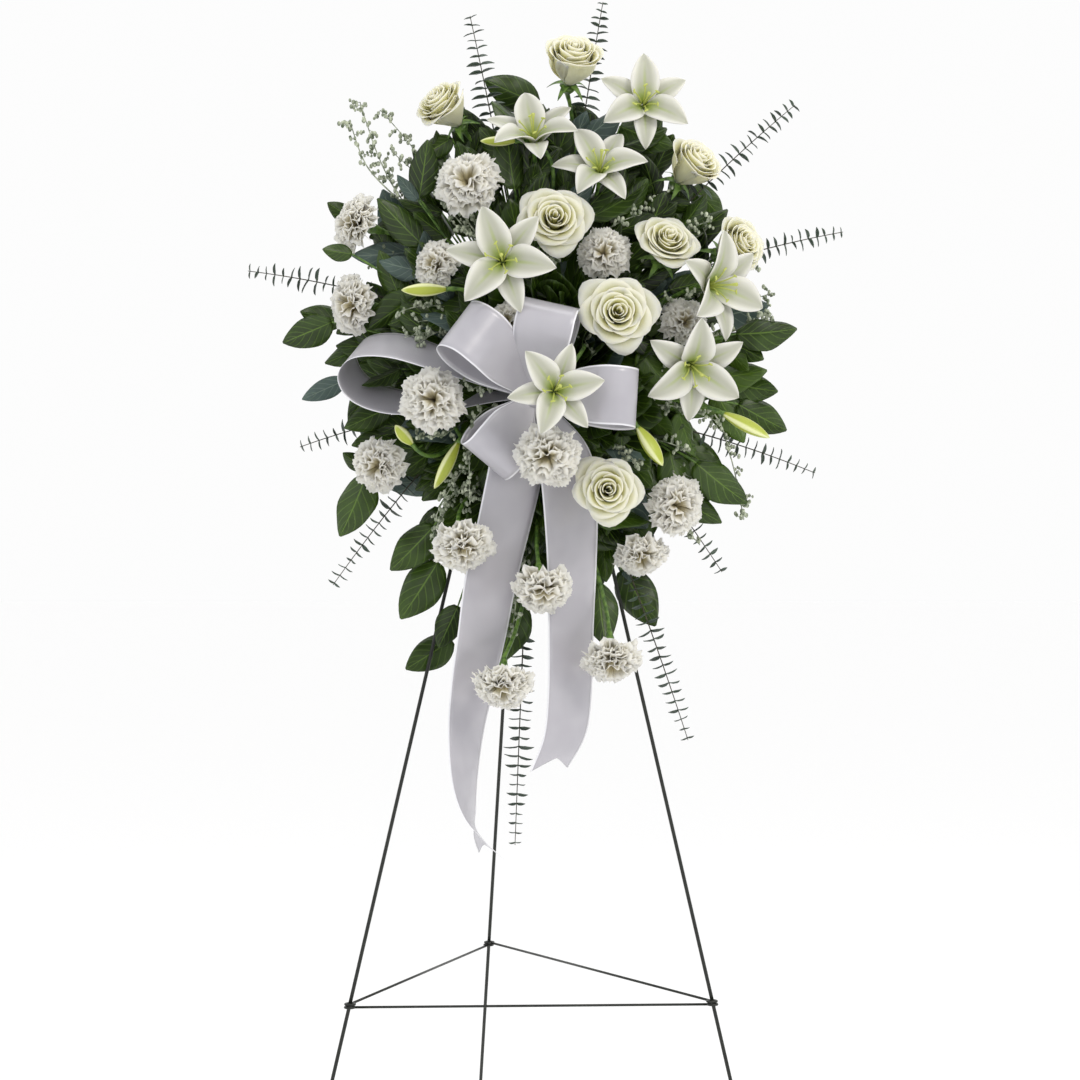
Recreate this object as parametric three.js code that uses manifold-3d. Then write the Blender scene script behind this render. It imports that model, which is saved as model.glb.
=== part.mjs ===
// A standing funeral spray: white roses, lilies and carnations with a satin bow, arranged one-sided
// in floral foam on a three-legged wire easel. Millimetres, +Z up, the front faces -Y, the floor is z = 0.
import * as THREE from "three";
import { mergeVertices } from "three/addons/utils/BufferGeometryUtils.js";
import Module from "manifold-3d";

const wasm = await Module();
wasm.setup();

// The front view that places were read from, 1080 pixels square, and where its axis meets the spray.
const MM_PER_PIXEL = 1.2;
const PHOTO_MIDDLE = 540;
const VIEW_DISTANCE = 3400;
const VIEW_HEIGHT = 938;
// The origin is under the middle of everything, so the model is moved by this much in x and y.
const TO_MIDDLE = [-8, -129];

// Easel: green wire, 1370 mm (54 inch) legs.
const LEG_RADIUS = 2.25;
const BRACE_RADIUS = 1.5;
const APEX = [-10, 60, 1319];
const LEFT_FOOT = [-312, -153];
const RIGHT_FOOT = [292, -153];
const BACK_FOOT = [-93, 477];
const BRACE_HEIGHT = 392;
const BACK_BRACE_HEIGHT = 402;
const RING_RADIUS = 5.6;
const NECK = 20;
const EYE_HEIGHT = 7;

// Foam brick in its plastic tray, leaning back with the front legs.
const FOAM_SIZE = [100, 70, 210];
const TRAY_WALL = 3;
const TRAY_RIM = 16;
const TRAY_HEIGHT = 1130;
const TAB_WIDTH = 34;
const COLLAR_HEIGHT = 12;
const COLLAR_DROP = 20;

// The mat of short greens over the foam, and the stem ends that stand in the foam.
const MAT_MIDDLE = [2, 0, 1122];
const MAT_HALF = [98, 74, 158];
const PEG_RADIUS = 3;
const PEG_DEPTH = 30;

// Satin ribbon, 68 mm wide.
const RIBBON_WIDTH = 68;
const RIBBON_THICKNESS = 0.9;
const KNOT = { photo: [533, 396], out: 118, radius: 15, width: 26 };
const PICK_RADIUS = 2;
const PICK_LENGTH = 90;

const GAP = 0.35;
const DEGREE = Math.PI / 180;

const COLOURS = {
  wire: ["#23301f", 0.5, 0.6],
  plastic: ["#2f5a38", 0.5, 0],
  foam: ["#4d7a4a", 0.95, 0],
  rose: ["#f3f0dc", 0.6, 0],
  lily: ["#f7f6ef", 0.5, 0],
  bud: ["#b9c95c", 0.5, 0],
  carnation: ["#f4f2ea", 0.8, 0],
  satin: ["#dcdbe2", 0.35, 0],
  leaf: ["#2f5220", 0.45, 0],
  seeded: ["#6f8663", 0.6, 0],
  eucalyptus: ["#46584a", 0.6, 0],
};

const vec = (x, y, z) => new THREE.Vector3(x, y, z);

// A repeatable random number from 0 to 1.
function seeded(seed) {
  let state = seed;
  return () => {
    state = (state * 1664525 + 1013904223) % 4294967296;
    return state / 4294967296;
  };
}

// The point seen at a pixel of the front view, `out` mm in front of the spray's own plane.
function seen([across, down], out) {
  const scale = (MM_PER_PIXEL * (VIEW_DISTANCE - out)) / VIEW_DISTANCE;
  return vec(
    (across - PHOTO_MIDDLE) * scale,
    -out,
    VIEW_HEIGHT + (PHOTO_MIDDLE - down) * scale,
  );
}

// A direction: 0, 0 looks at the viewer; turn goes to the right and lift goes up, in degrees.
function heading(turn, lift) {
  const [t, l] = [turn * DEGREE, lift * DEGREE];
  return vec(Math.sin(t) * Math.cos(l), -Math.cos(t) * Math.cos(l), Math.sin(l));
}

// A matrix that puts local +Z along a direction, with local +Y as near to `facing` as it can be.
function stand(position, along, facing) {
  const z = along.clone().normalize();
  const x = vec(0, 0, 0).crossVectors(facing, z).normalize();
  const y = vec(0, 0, 0).crossVectors(z, x);
  return new THREE.Matrix4().makeBasis(x, y, z).setPosition(position);
}

// One closed geometry with shared vertices and no collapsed triangles.
function weld(geometry) {
  const bare = geometry.clone();
  bare.deleteAttribute("normal");
  bare.deleteAttribute("uv");
  const merged = mergeVertices(bare, 1e-3);
  const corners = [];
  for (let i = 0; i < merged.index.count; i += 3) {
    const [a, b, c] = [0, 1, 2].map((k) => merged.index.getX(i + k));
    if (a !== b && b !== c && c !== a) corners.push(a, b, c);
  }
  merged.setIndex(corners);
  return merged;
}

// The same geometry as a solid, with its faces turned outwards.
function solid(geometry, matrix = new THREE.Matrix4()) {
  const welded = weld(geometry).applyMatrix4(matrix);
  const build = (triVerts) =>
    new wasm.Manifold(
      new wasm.Mesh({
        numProp: 3,
        vertProperties: new Float32Array(welded.attributes.position.array),
        triVerts: new Uint32Array(triVerts),
      }),
    );
  const corners = Array.from(welded.index.array);
  const made = build(corners);
  return made.volume() < 0 ? build(corners.reverse()) : made;
}

function joined(solids) {
  return solids.reduce((sum, next) => sum.add(next));
}

// The largest body of a solid, without the scraps that a cut can leave.
function wholeBody(shape) {
  const bodies = shape.decompose();
  return bodies.reduce((best, body) => (body.volume() > best.volume() ? body : best));
}

function geometryOf(shape) {
  const mesh = shape.getMesh();
  const geometry = new THREE.BufferGeometry();
  const points = new Float32Array(mesh.numVert * 3);
  for (let i = 0; i < mesh.numVert; i++)
    for (let k = 0; k < 3; k++)
      points[i * 3 + k] = mesh.vertProperties[i * mesh.numProp + k];
  geometry.setAttribute("position", new THREE.BufferAttribute(points, 3));
  geometry.setIndex(Array.from(mesh.triVerts));
  geometry.computeVertexNormals();
  return geometry;
}

const spray = new THREE.Group();
const placed = [];

// Adds a named mesh to the spray and remembers its solid, for what is fitted round it later.
function add(name, shape, colour) {
  const [hex, roughness, metalness] = COLOURS[colour];
  const material = new THREE.MeshStandardMaterial({ color: hex, roughness, metalness });
  const mesh = new THREE.Mesh(geometryOf(shape), material);
  mesh.name = name;
  spray.add(mesh);
  placed.push({ name, shape, box: shape.boundingBox() });
}

function boxesMeet(a, b) {
  return [0, 1, 2].every((k) => a.min[k] < b.max[k] && b.min[k] < a.max[k]);
}

// True if a solid meets nothing that is already placed.
function isClear(shape, except = []) {
  const box = shape.boundingBox();
  return placed.every(
    (other) =>
      except.includes(other.name) ||
      !boxesMeet(box, other.box) ||
      shape.intersect(other.shape).isEmpty(),
  );
}

// Basic forms

function rod(from, to, radius, sides) {
  const length = from.distanceTo(to);
  const geometry = new THREE.CylinderGeometry(radius, radius, length, sides);
  geometry.rotateX(Math.PI / 2);
  const middle = from.clone().add(to).multiplyScalar(0.5);
  const side = Math.abs(to.x - from.x) > 0.9 * length ? vec(0, 0, 1) : vec(1, 0, 0);
  return solid(geometry, stand(middle, to.clone().sub(from), side));
}

function tube(curve, radius, sides, steps) {
  const corners = Array.from({ length: sides }, (_, i) => {
    const angle = (2 * Math.PI * i) / sides;
    return new THREE.Vector2(radius * Math.cos(angle), radius * Math.sin(angle));
  });
  const section = new THREE.Shape(corners);
  const settings = { extrudePath: curve, steps, bevelEnabled: false };
  return solid(new THREE.ExtrudeGeometry(section, settings));
}

function block(size, matrix) {
  return solid(new THREE.BoxGeometry(...size), matrix);
}

// A thin closed blade over a grid: surface(u, v) is its middle, u from root to tip and v from -1 to 1.
// Both faces are split alike and meet in the outline, so the blade is thickest inside.
function blade(rows, columns, thickness, surface) {
  const step = 1e-3;
  const point = (i, j, side) => {
    const [u, v] = [i / rows, (2 * j) / columns - 1];
    const middle = surface(u, v);
    if (i === 0 || i === rows || j === 0 || j === columns) return middle;
    const along = surface(u + step, v).sub(surface(u - step, v));
    const across = surface(u, v + step).sub(surface(u, v - step));
    const normal = across.cross(along).normalize();
    return middle.addScaledVector(normal, (side * thickness) / 2);
  };
  const corners = [];
  const face = (a, b, c, side) => {
    const turned = side > 0 ? [a, b, c] : [a, c, b];
    turned.forEach(([i, j]) => corners.push(...point(i, j, side).toArray()));
  };
  for (const side of [1, -1])
    for (let i = 0; i < rows; i++)
      for (let j = 0; j < columns; j++) {
        const [a, b, c, d] = [[i, j], [i, j + 1], [i + 1, j + 1], [i + 1, j]];
        const left = j < columns / 2;
        face(a, b, left ? d : c, side);
        face(left ? b : a, c, d, side);
      }
  const geometry = new THREE.BufferGeometry();
  geometry.setAttribute("position", new THREE.Float32BufferAttribute(corners, 3));
  return geometry;
}

// Collects the faces of a closed body.
function faces() {
  const corners = [];
  const triangle = (...points) => points.forEach((p) => corners.push(...p.toArray()));
  const quad = (a, b, c, d) => {
    triangle(a, b, c);
    triangle(a, c, d);
  };
  const closed = () => {
    const geometry = new THREE.BufferGeometry();
    geometry.setAttribute("position", new THREE.Float32BufferAttribute(corners, 3));
    return solid(geometry);
  };
  return { triangle, quad, closed };
}

// The closed skin over rings of points that follow each other, flat at both ends.
function skin(rings) {
  const { triangle, quad, closed } = faces();
  for (let i = 0; i + 1 < rings.length; i++)
    for (let j = 0; j < rings[i].length; j++) {
      const k = (j + 1) % rings[i].length;
      quad(rings[i][j], rings[i][k], rings[i + 1][k], rings[i + 1][j]);
    }
  const [first, last] = [rings[0], rings[rings.length - 1]];
  for (let j = 1; j + 1 < first.length; j++) {
    triangle(first[0], first[j + 1], first[j]);
    triangle(last[0], last[j], last[j + 1]);
  }
  return closed();
}

// A head turned on a lathe, whose rings are then moved by a formula.
// Each ring is [radius, height]; shape(ring, angle) gives [radius factor, lift].
function turnedHead(rings, columns, shape) {
  const profile = rings.map(([radius, height]) => new THREE.Vector2(radius, height));
  const geometry = new THREE.LatheGeometry(profile, columns);
  const position = geometry.attributes.position;
  for (let i = 0; i < position.count; i++) {
    const ring = i % rings.length;
    const column = Math.floor(i / rings.length) % columns;
    const angle = (2 * Math.PI * column) / columns;
    const [radius, height] = rings[ring];
    const [factor, lift] = shape(ring, angle);
    const r = radius * factor;
    const z = height + (radius > 0 ? lift : 0);
    position.setXYZ(i, r * Math.cos(angle), r * Math.sin(angle), z);
  }
  return geometry;
}

const share = (x) => x - Math.floor(x);

// Easel

function along(from, to, height) {
  const t = (height - from[2]) / (to[2] - from[2]);
  return vec(
    from[0] + (to[0] - from[0]) * t,
    from[1] + (to[1] - from[1]) * t,
    height,
  );
}

const lean = Math.atan2(APEX[1] - LEFT_FOOT[1], APEX[2]);
const outward = vec(0, -Math.cos(lean), Math.sin(lean));
const upward = vec(0, Math.sin(lean), Math.cos(lean));
const halfApart = LEG_RADIUS + GAP / 2 + 0.1;

function easel() {
  const floorCut = block([2000, 2000, 40], new THREE.Matrix4().makeTranslation(0, 0, -20));
  const leg = (foot, side) => {
    const top = vec(APEX[0] + side * halfApart, APEX[1], APEX[2]);
    const floor = vec(foot[0], foot[1], 0);
    const start = floor.clone().addScaledVector(floor.clone().sub(top).normalize(), 2 * LEG_RADIUS);
    const neck = rod(top, top.clone().addScaledVector(upward, NECK), LEG_RADIUS, 6);
    const bend = solid(
      new THREE.SphereGeometry(LEG_RADIUS, 6, 4),
      stand(top, upward, vec(0, 1, 0)),
    );
    return joined([rod(start, top, LEG_RADIUS, 6), neck, bend]).subtract(floorCut);
  };
  add("leg_left", leg(LEFT_FOOT, -1), "wire");
  add("leg_right", leg(RIGHT_FOOT, 1), "wire");

  // The back leg ends in an eye round the upright ends of both front legs.
  const eyeRadius = halfApart + 2 * LEG_RADIUS + GAP + 0.3;
  const eyeMiddle = vec(...APEX).addScaledVector(upward, EYE_HEIGHT);
  const eye = solid(
    new THREE.TorusGeometry(eyeRadius, LEG_RADIUS, 5, 12),
    stand(eyeMiddle, upward, vec(0, 1, 0)),
  );
  const backTop = eyeMiddle.clone().addScaledVector(outward, -eyeRadius);
  const backFoot = vec(BACK_FOOT[0], BACK_FOOT[1], 0);
  const below = backFoot.clone().sub(backTop).normalize();
  const backStart = backFoot.clone().addScaledVector(below, 3 * LEG_RADIUS);
  const backLeg = rod(backStart, backTop, LEG_RADIUS, 6);
  add("leg_back", backLeg.add(eye).subtract(floorCut), "wire");

  // Three braces tie the legs into a fixed tripod. Each ends in rings that grip the legs.
  const corner = {
    left: (z) => along([...LEFT_FOOT, 0], [APEX[0] - halfApart, APEX[1], APEX[2]], z),
    right: (z) => along([...RIGHT_FOOT, 0], [APEX[0] + halfApart, APEX[1], APEX[2]], z),
    back: (z) => along([...BACK_FOOT, 0], backTop.toArray(), z),
  };
  const slack = 0.8;
  const brace = (name, [a, liftA], [b, liftB]) => {
    const [from, to] = [corner[a](liftA), corner[b](liftB)];
    const way = to.clone().sub(from).normalize();
    const centres = [from.addScaledVector(way, slack), to.addScaledVector(way, -slack)];
    const rings = centres.map((centre) =>
      solid(
        new THREE.TorusGeometry(RING_RADIUS, BRACE_RADIUS, 4, 7),
        new THREE.Matrix4().makeTranslation(...centre.toArray()),
      ),
    );
    const ends = centres.map((centre, i) =>
      centre.clone().addScaledVector(way, (i ? -1 : 1) * RING_RADIUS),
    );
    add(name, joined([rod(...ends, BRACE_RADIUS, 5), ...rings]), "wire");
  };
  const stack = 2 * BRACE_RADIUS + 0.5;
  brace("crossbar", ["left", BRACE_HEIGHT], ["right", BRACE_HEIGHT + stack]);
  brace("brace_left", ["left", BRACE_HEIGHT + stack], ["back", BACK_BRACE_HEIGHT]);
  brace("brace_right", ["right", BRACE_HEIGHT + 2 * stack], ["back", BACK_BRACE_HEIGHT + stack]);
}

// Tray and foam

// A place in the leaning tray: across, out from the legs' plane, and up from the tray's middle.
function onTray(across, out, up) {
  const legs = along([...LEFT_FOOT, 0], APEX, TRAY_HEIGHT);
  const base = vec(APEX[0], legs.y, TRAY_HEIGHT);
  return base.addScaledVector(outward, out).addScaledVector(upward, up).add(vec(across, 0, 0));
}

function leaning(across, out, up) {
  return stand(onTray(across, out, up), upward, outward.clone().negate());
}

const trayBack = LEG_RADIUS + GAP;
const foamMiddle = trayBack + TRAY_WALL + GAP + FOAM_SIZE[1] / 2;
const pegs = [-30, 30].flatMap((x) => [-78, -26, 26, 78].map((z) => [x, z]));

function holder() {
  const [width, depth, height] = FOAM_SIZE;
  const wide = width + 2 * (TRAY_WALL + GAP);
  const tall = height + 2 * (TRAY_WALL + GAP);
  const outer = block([wide, TRAY_RIM, tall], leaning(0, trayBack + TRAY_RIM / 2, 0));
  const inner = block(
    [width + 2 * GAP, TRAY_RIM, height + 2 * GAP],
    leaning(0, trayBack + TRAY_WALL + TRAY_RIM / 2, 0),
  );

  // The tab reaches up to a collar round both front legs, which spread below it and so carry it.
  const collarTop = (APEX[2] - TRAY_HEIGHT) / Math.cos(lean) - COLLAR_DROP;
  const tabBottom = tall / 2 - 6;
  const tab = block(
    [TAB_WIDTH, TRAY_WALL, collarTop - tabBottom],
    leaning(0, trayBack + TRAY_WALL / 2, (collarTop + tabBottom) / 2),
  );
  const collarDepth = 2 * trayBack + TRAY_WALL;
  const collar = block(
    [TAB_WIDTH, collarDepth, COLLAR_HEIGHT],
    leaning(0, -TRAY_WALL / 2 + 0.5, collarTop - COLLAR_HEIGHT / 2),
  );
  const spread = (RIGHT_FOOT[0] - LEFT_FOOT[0]) / 2 / (APEX[2] / Math.cos(lean));
  const passage = (drop) => halfApart + spread * drop + LEG_RADIUS / Math.cos(Math.atan(spread)) + GAP;
  const [narrow, broad] = [passage(COLLAR_DROP - 1), passage(COLLAR_DROP + COLLAR_HEIGHT + 1)];
  const opening = new THREE.Shape([
    new THREE.Vector2(-broad, -COLLAR_HEIGHT - 1),
    new THREE.Vector2(broad, -COLLAR_HEIGHT - 1),
    new THREE.Vector2(narrow, 1),
    new THREE.Vector2(-narrow, 1),
  ]);
  const cut = new THREE.ExtrudeGeometry(opening, { depth: 2 * trayBack, bevelEnabled: false });
  const cutPlace = new THREE.Matrix4()
    .makeBasis(vec(1, 0, 0), upward, outward)
    .setPosition(onTray(0, -trayBack, collarTop));
  const tray = joined([outer.subtract(inner), tab, collar]).subtract(solid(cut, cutPlace));
  add("foam_tray", tray, "plastic");

  const brick = block(FOAM_SIZE, leaning(0, foamMiddle, 0));
  const front = foamMiddle + depth / 2;
  const holes = pegs.map(([x, z]) =>
    rod(onTray(x, front - PEG_DEPTH - 1, z), onTray(x, front + 5, z), PEG_RADIUS + GAP, 6),
  );
  add("foam_brick", brick.subtract(joined([...holes, pickRod(GAP, 2)])), "foam");
}

// Ribbon

// A strip of ribbon through samples { at, across }, where across is half the width as a vector.
function strip(samples, notch = 0) {
  const columns = notch ? 2 : 1;
  const last = samples.length - 1;
  const rows = samples.map(({ at, across }, i) => {
    const before = samples[Math.max(0, i - 1)].at;
    const after = samples[Math.min(last, i + 1)].at;
    const way = after.clone().sub(before).normalize();
    const normal = way.clone().cross(across).normalize().multiplyScalar(RIBBON_THICKNESS / 2);
    const middle = i === last ? at.clone().addScaledVector(way, -notch) : at;
    const line = Array.from({ length: columns + 1 }, (_, j) => {
      const centre = columns === 2 && j === 1 ? middle : at;
      return centre.clone().addScaledVector(across, (2 * j) / columns - 1);
    });
    return [
      ...line.map((p) => p.clone().add(normal)),
      ...line.map((p) => p.clone().sub(normal)).reverse(),
    ];
  });
  const around = 2 * (columns + 1);
  const { quad, closed } = faces();
  for (let i = 0; i < last; i++)
    for (let j = 0; j < around; j++) {
      const k = (j + 1) % around;
      const ring = [rows[i][j], rows[i][k], rows[i + 1][k], rows[i + 1][j]];
      // The back is split along the same diagonals as the front, so that a twist can't cross them.
      if (j > columns) ring.push(ring.shift());
      quad(...ring);
    }
  for (let j = 0; j < columns; j++) {
    const end = (row) => [row[j], row[j + 1], row[around - 2 - j], row[around - 1 - j]];
    quad(...end(rows[0]).reverse());
    quad(...end(rows[last]));
  }
  return closed();
}

// Loops of the bow: where the far end is seen, how deep the loop is, and which way it curls.
const LOOPS = [
  { far: [457, 323], out: 168, bulge: 46, curl: heading(0, 20) },
  { far: [551, 303], out: 150, bulge: 46, curl: heading(0, 25) },
  { far: [636, 398], out: 160, bulge: 44, curl: heading(-30, 5) },
  { far: [484, 462], out: 138, bulge: 32, curl: heading(0, -25) },
  { far: [347, 366], out: 62, bulge: 56, curl: heading(-35, 62), root: 112 },
];
const LOOP_STEPS = 10;
const LOOP_START = 24 * DEGREE;
const LOOP_PINCH = 0.18;

function bowLoop({ far, out, bulge, curl, root = KNOT.out }) {
  const knot = seen(KNOT.photo, root);
  const reach = seen(far, out).sub(knot);
  const length = reach.length();
  const way = reach.clone().normalize();
  const side = curl.clone().addScaledVector(way, -curl.dot(way)).normalize();
  const across = way.clone().cross(side).normalize();
  const samples = Array.from({ length: LOOP_STEPS + 1 }, (_, i) => {
    const angle = LOOP_START + ((2 * Math.PI - 2 * LOOP_START) * i) / LOOP_STEPS;
    const open = (1 - Math.cos(angle)) / 2;
    const width = RIBBON_WIDTH * (LOOP_PINCH + (1 - LOOP_PINCH) * Math.min(1, open * 1.8));
    const at = knot
      .clone()
      .addScaledVector(way, length * open)
      .addScaledVector(side, bulge * Math.sin(angle) * open);
    return { at, across: across.clone().multiplyScalar(width / 2) };
  });
  return strip(samples);
}

// The two tails: where each is seen, and how far it is turned away from the viewer, in degrees.
const TAIL_LEFT = [
  { photo: [529, 400], out: 110, turn: 15, width: 0.25 },
  { photo: [519, 434], out: 98, turn: 15, width: 0.8 },
  { photo: [514, 478], out: 96, turn: 20 },
  { photo: [504, 525], out: 94, turn: 22 },
  { photo: [491, 580], out: 91, turn: 26 },
  { photo: [482, 635], out: 88, turn: 34 },
  { photo: [473, 685], out: 86, turn: 42 },
  { photo: [466, 735], out: 84, turn: 54 },
  { photo: [465, 782], out: 82, turn: 66 },
  { photo: [470, 815], out: 80, turn: 80 },
  { photo: [479, 838], out: 79, turn: 102 },
  { photo: [491, 856], out: 78, turn: 116 },
];
const TAIL_RIGHT = [
  { photo: [538, 400], out: 108, turn: 12, width: 0.25 },
  { photo: [560, 438], out: 93, turn: 12, width: 0.8 },
  { photo: [568, 472], out: 90, turn: 16 },
  { photo: [571, 515], out: 88, turn: 22 },
  { photo: [572, 570], out: 86, turn: 32 },
  { photo: [571, 630], out: 84, turn: 38 },
  { photo: [570, 690], out: 82, turn: 40 },
  { photo: [565, 735], out: 80, turn: 42 },
  { photo: [549, 770], out: 78, turn: 50 },
];
const TAIL_NOTCH = 18;

function tail(stations) {
  const samples = stations.map(({ photo, out, turn, width = 1 }) => ({
    at: seen(photo, out),
    across: vec(Math.cos(turn * DEGREE), Math.sin(turn * DEGREE), 0).multiplyScalar(
      (RIBBON_WIDTH * width) / 2,
    ),
  }));
  return strip(samples, TAIL_NOTCH);
}

// The wooden pick that holds the bow in the foam, or the hole for it if it is grown.
function pickRod(grow, longer) {
  const knot = seen(KNOT.photo, KNOT.out);
  const tip = knot.clone().add(vec(0, PICK_LENGTH + longer, 0));
  return rod(knot, tip, PICK_RADIUS + grow, 6);
}

function ribbon() {
  const knot = seen(KNOT.photo, KNOT.out - 6);
  const band = solid(
    new THREE.CylinderGeometry(KNOT.radius, KNOT.radius, KNOT.width, 6).rotateX(Math.PI / 2),
    stand(knot, vec(0.3, 0, 1), vec(0, 1, 0)),
  );
  const tails = [tail(TAIL_LEFT), tail(TAIL_RIGHT)];
  add("bow", wholeBody(joined([band, pickRod(0, 0), ...LOOPS.map(bowLoop), ...tails])), "satin");
}

// Roses

// Rings of a rose head from its seat to its heart, as shares of its radius and height.
const ROSE_RINGS = [
  [0, 0], [0.3, 0], [0.8, 0.32], [1, 0.72], [0.66, 0.56], [0.72, 0.94],
  [0.4, 0.72], [0.4, 1.02], [0, 0.8],
];
const ROSE_PETALS = [0, 0, 5, 5, 5, 5, 5, 3, 0];
const ROSE_COLUMNS = 15;

function roseHead(width, height) {
  const rings = ROSE_RINGS.map(([r, z]) => [(r * width) / 2, z * height]);
  return turnedHead(rings, ROSE_COLUMNS, (ring, angle) => {
    const petals = ROSE_PETALS[ring];
    if (!petals) return [1, 0];
    const within = share((petals * angle) / (2 * Math.PI) + (ring > 4 ? 0.5 : 0) + ring * 0.01);
    const rim = [3, 5, 7].includes(ring);
    const lobe = Math.cos(2 * Math.PI * (within - 0.36));
    return [1 + 0.06 * lobe + 0.16 * (0.36 - within), rim ? 0.07 * height * lobe : 0];
  });
}

const ROSES = [
  { photo: [572, 62], out: 35, turn: 10, lift: 48, width: 68, height: 66 },
  { photo: [444, 108], out: 30, turn: -48, lift: 38, width: 76, height: 62 },
  { photo: [554, 221], out: 116, turn: 4, lift: 14, width: 90, height: 56 },
  { photo: [692, 166], out: 42, turn: 42, lift: 36, width: 68, height: 62 },
  { photo: [666, 245], out: 92, turn: 16, lift: 34, width: 80, height: 58 },
  { photo: [736, 246], out: 40, turn: 44, lift: 18, width: 70, height: 60 },
  { photo: [617, 314], out: 150, turn: 5, lift: 8, width: 94, height: 56 },
  { photo: [607, 490], out: 140, turn: 4, lift: 2, width: 86, height: 54 },
];

// Carnations

const CARNATION_RINGS = [
  [0, 0], [0.2, 0], [1, 0.36], [0.7, 0.42], [0.84, 0.74], [0.46, 0.62],
  [0.5, 0.98], [0, 0.8],
];
const CARNATION_COLUMNS = 12;

function carnationHead(width, height) {
  const rings = CARNATION_RINGS.map(([r, z]) => [(r * width) / 2, z * height]);
  return turnedHead(rings, CARNATION_COLUMNS, (ring, angle) => {
    const rim = [2, 4, 6].includes(ring);
    const frill = Math.cos((CARNATION_COLUMNS / 2) * angle) * (ring % 4 ? -1 : 1);
    const uneven = Math.cos(3 * angle + ring);
    return [1 + (rim ? 0.07 * frill : 0) + 0.05 * uneven, rim ? 0.09 * height * frill : 0];
  });
}

const CARNATIONS = [
  { photo: [467, 182], out: 92, turn: -20, lift: 20, width: 82, height: 46 },
  { photo: [355, 223], out: 32, turn: -58, lift: 12, width: 72, height: 42 },
  { photo: [352, 304], out: 42, turn: -48, lift: 0, width: 74, height: 42 },
  { photo: [436, 264], out: 84, turn: -34, lift: 10, width: 62, height: 38 },
  { photo: [433, 399], out: 146, turn: -8, lift: 4, width: 80, height: 44 },
  { photo: [379, 465], out: 78, turn: -30, lift: -10, width: 72, height: 42 },
  { photo: [604, 253], out: 92, turn: 0, lift: 14, width: 68, height: 40 },
  { photo: [548, 456], out: 172, turn: 0, lift: -14, width: 78, height: 42 },
  { photo: [464, 547], out: 138, turn: 14, lift: -42, width: 76, height: 42 },
  { photo: [543, 590], out: 138, turn: 10, lift: -46, width: 76, height: 42 },
  { photo: [502, 686], out: 136, turn: -4, lift: -48, width: 74, height: 42 },
  { photo: [612, 661], out: 108, turn: 6, lift: -54, width: 76, height: 42 },
  { photo: [676, 505], out: 84, turn: 26, lift: -2, width: 78, height: 42 },
  { photo: [641, 556], out: 68, turn: 10, lift: -46, width: 68, height: 36 },
  { photo: [507, 321], out: 93, turn: -6, lift: 14, width: 52, height: 30 },
  { photo: [684, 322], out: 84, turn: 16, lift: 16, width: 60, height: 36 },
];

// Lilies

const TEPAL_ROWS = 4;
const LILY_THROAT = 5;

// Distance out from the flower's axis and up along it, at a share u of a tepal's length.
function tepalLine(u, length, opening) {
  const samples = 12;
  let [r, h] = [LILY_THROAT * 0.5, 2];
  for (let i = 0; i < samples; i++) {
    const s = (u * (i + 0.5)) / samples;
    const angle = (18 + opening * Math.pow(s, 0.8)) * DEGREE;
    r += ((Math.sin(angle) * u) / samples) * length;
    h += ((Math.cos(angle) * u) / samples) * length;
  }
  return [r, h];
}

function tepal(length, width, opening, hollow) {
  return blade(TEPAL_ROWS, 2, 1.6, (u, v) => {
    const [r, h] = tepalLine(u, length, opening);
    const swell = Math.sin(Math.PI * Math.min(1, Math.max(0, 0.04 + 0.96 * u)));
    const cup = hollow * width * Math.abs(v) * Math.sin(Math.PI * Math.min(1, Math.max(0, u)));
    return vec((v * width * Math.pow(swell, 0.85)) / 2, r - cup * 0.5, h + cup * 0.8);
  });
}

// A three-sided stamen that widens to its anther.
function stamen(length) {
  const profile = [[0, 0], [1.2, length - 11], [2.6, length - 5], [0, length]];
  const points = profile.map(([r, z]) => new THREE.Vector2(r, z));
  return new THREE.LatheGeometry(points, 3).rotateX(Math.PI / 2);
}

function lilySolid(length, opening, turned) {
  const throat = new THREE.CylinderGeometry(LILY_THROAT + 2, LILY_THROAT - 1, 14, 6);
  const parts = [solid(throat.rotateX(Math.PI / 2).translate(0, 0, 7))];
  for (let i = 0; i < 6; i++) {
    const inner = i % 2 === 0;
    const place = new THREE.Matrix4()
      .makeRotationZ(turned + (i * Math.PI) / 3)
      .multiply(new THREE.Matrix4().makeTranslation(0, 0, inner ? 5 : 0));
    const form = inner
      ? tepal(length, 0.5 * length, opening, 0.22)
      : tepal(length, 0.4 * length, opening + 8, 0.05);
    parts.push(solid(form, place));
  }
  for (let i = 0; i < 6; i++) {
    const angle = turned + ((i + 0.5) * Math.PI) / 3;
    const side = vec(Math.cos(angle), Math.sin(angle), 0);
    const base = side.clone().multiplyScalar(3).setZ(10);
    const way = side.multiplyScalar(0.35).setZ(1);
    parts.push(solid(stamen(0.5 * length), stand(base, way, vec(0, 1, 0.1))));
  }
  return wholeBody(joined(parts));
}

const LILIES = [
  { photo: [642, 108], out: 30, turn: 6, lift: 12, length: 66, opening: 92, turned: 0 },
  { photo: [534, 148], out: 52, turn: -4, lift: 44, length: 68, opening: 74, turned: 12 },
  { photo: [599, 177], out: 60, turn: 2, lift: 32, length: 64, opening: 88, turned: 30 },
  { photo: [503, 263], out: 142, turn: -3, lift: 4, length: 74, opening: 88, turned: 20 },
  { photo: [702, 286], out: 90, turn: 42, lift: -2, length: 76, opening: 74, turned: 8 },
  { photo: [688, 362], out: 96, turn: 14, lift: -20, length: 74, opening: 84, turned: 0 },
  {
    photo: [553, 392], out: 178, turn: 8, lift: 4, length: 64, opening: 84, turned: 40,
    by: [[582, 351, 138], [583, 345, 82], [583, 345, 60]],
  },
];

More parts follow.
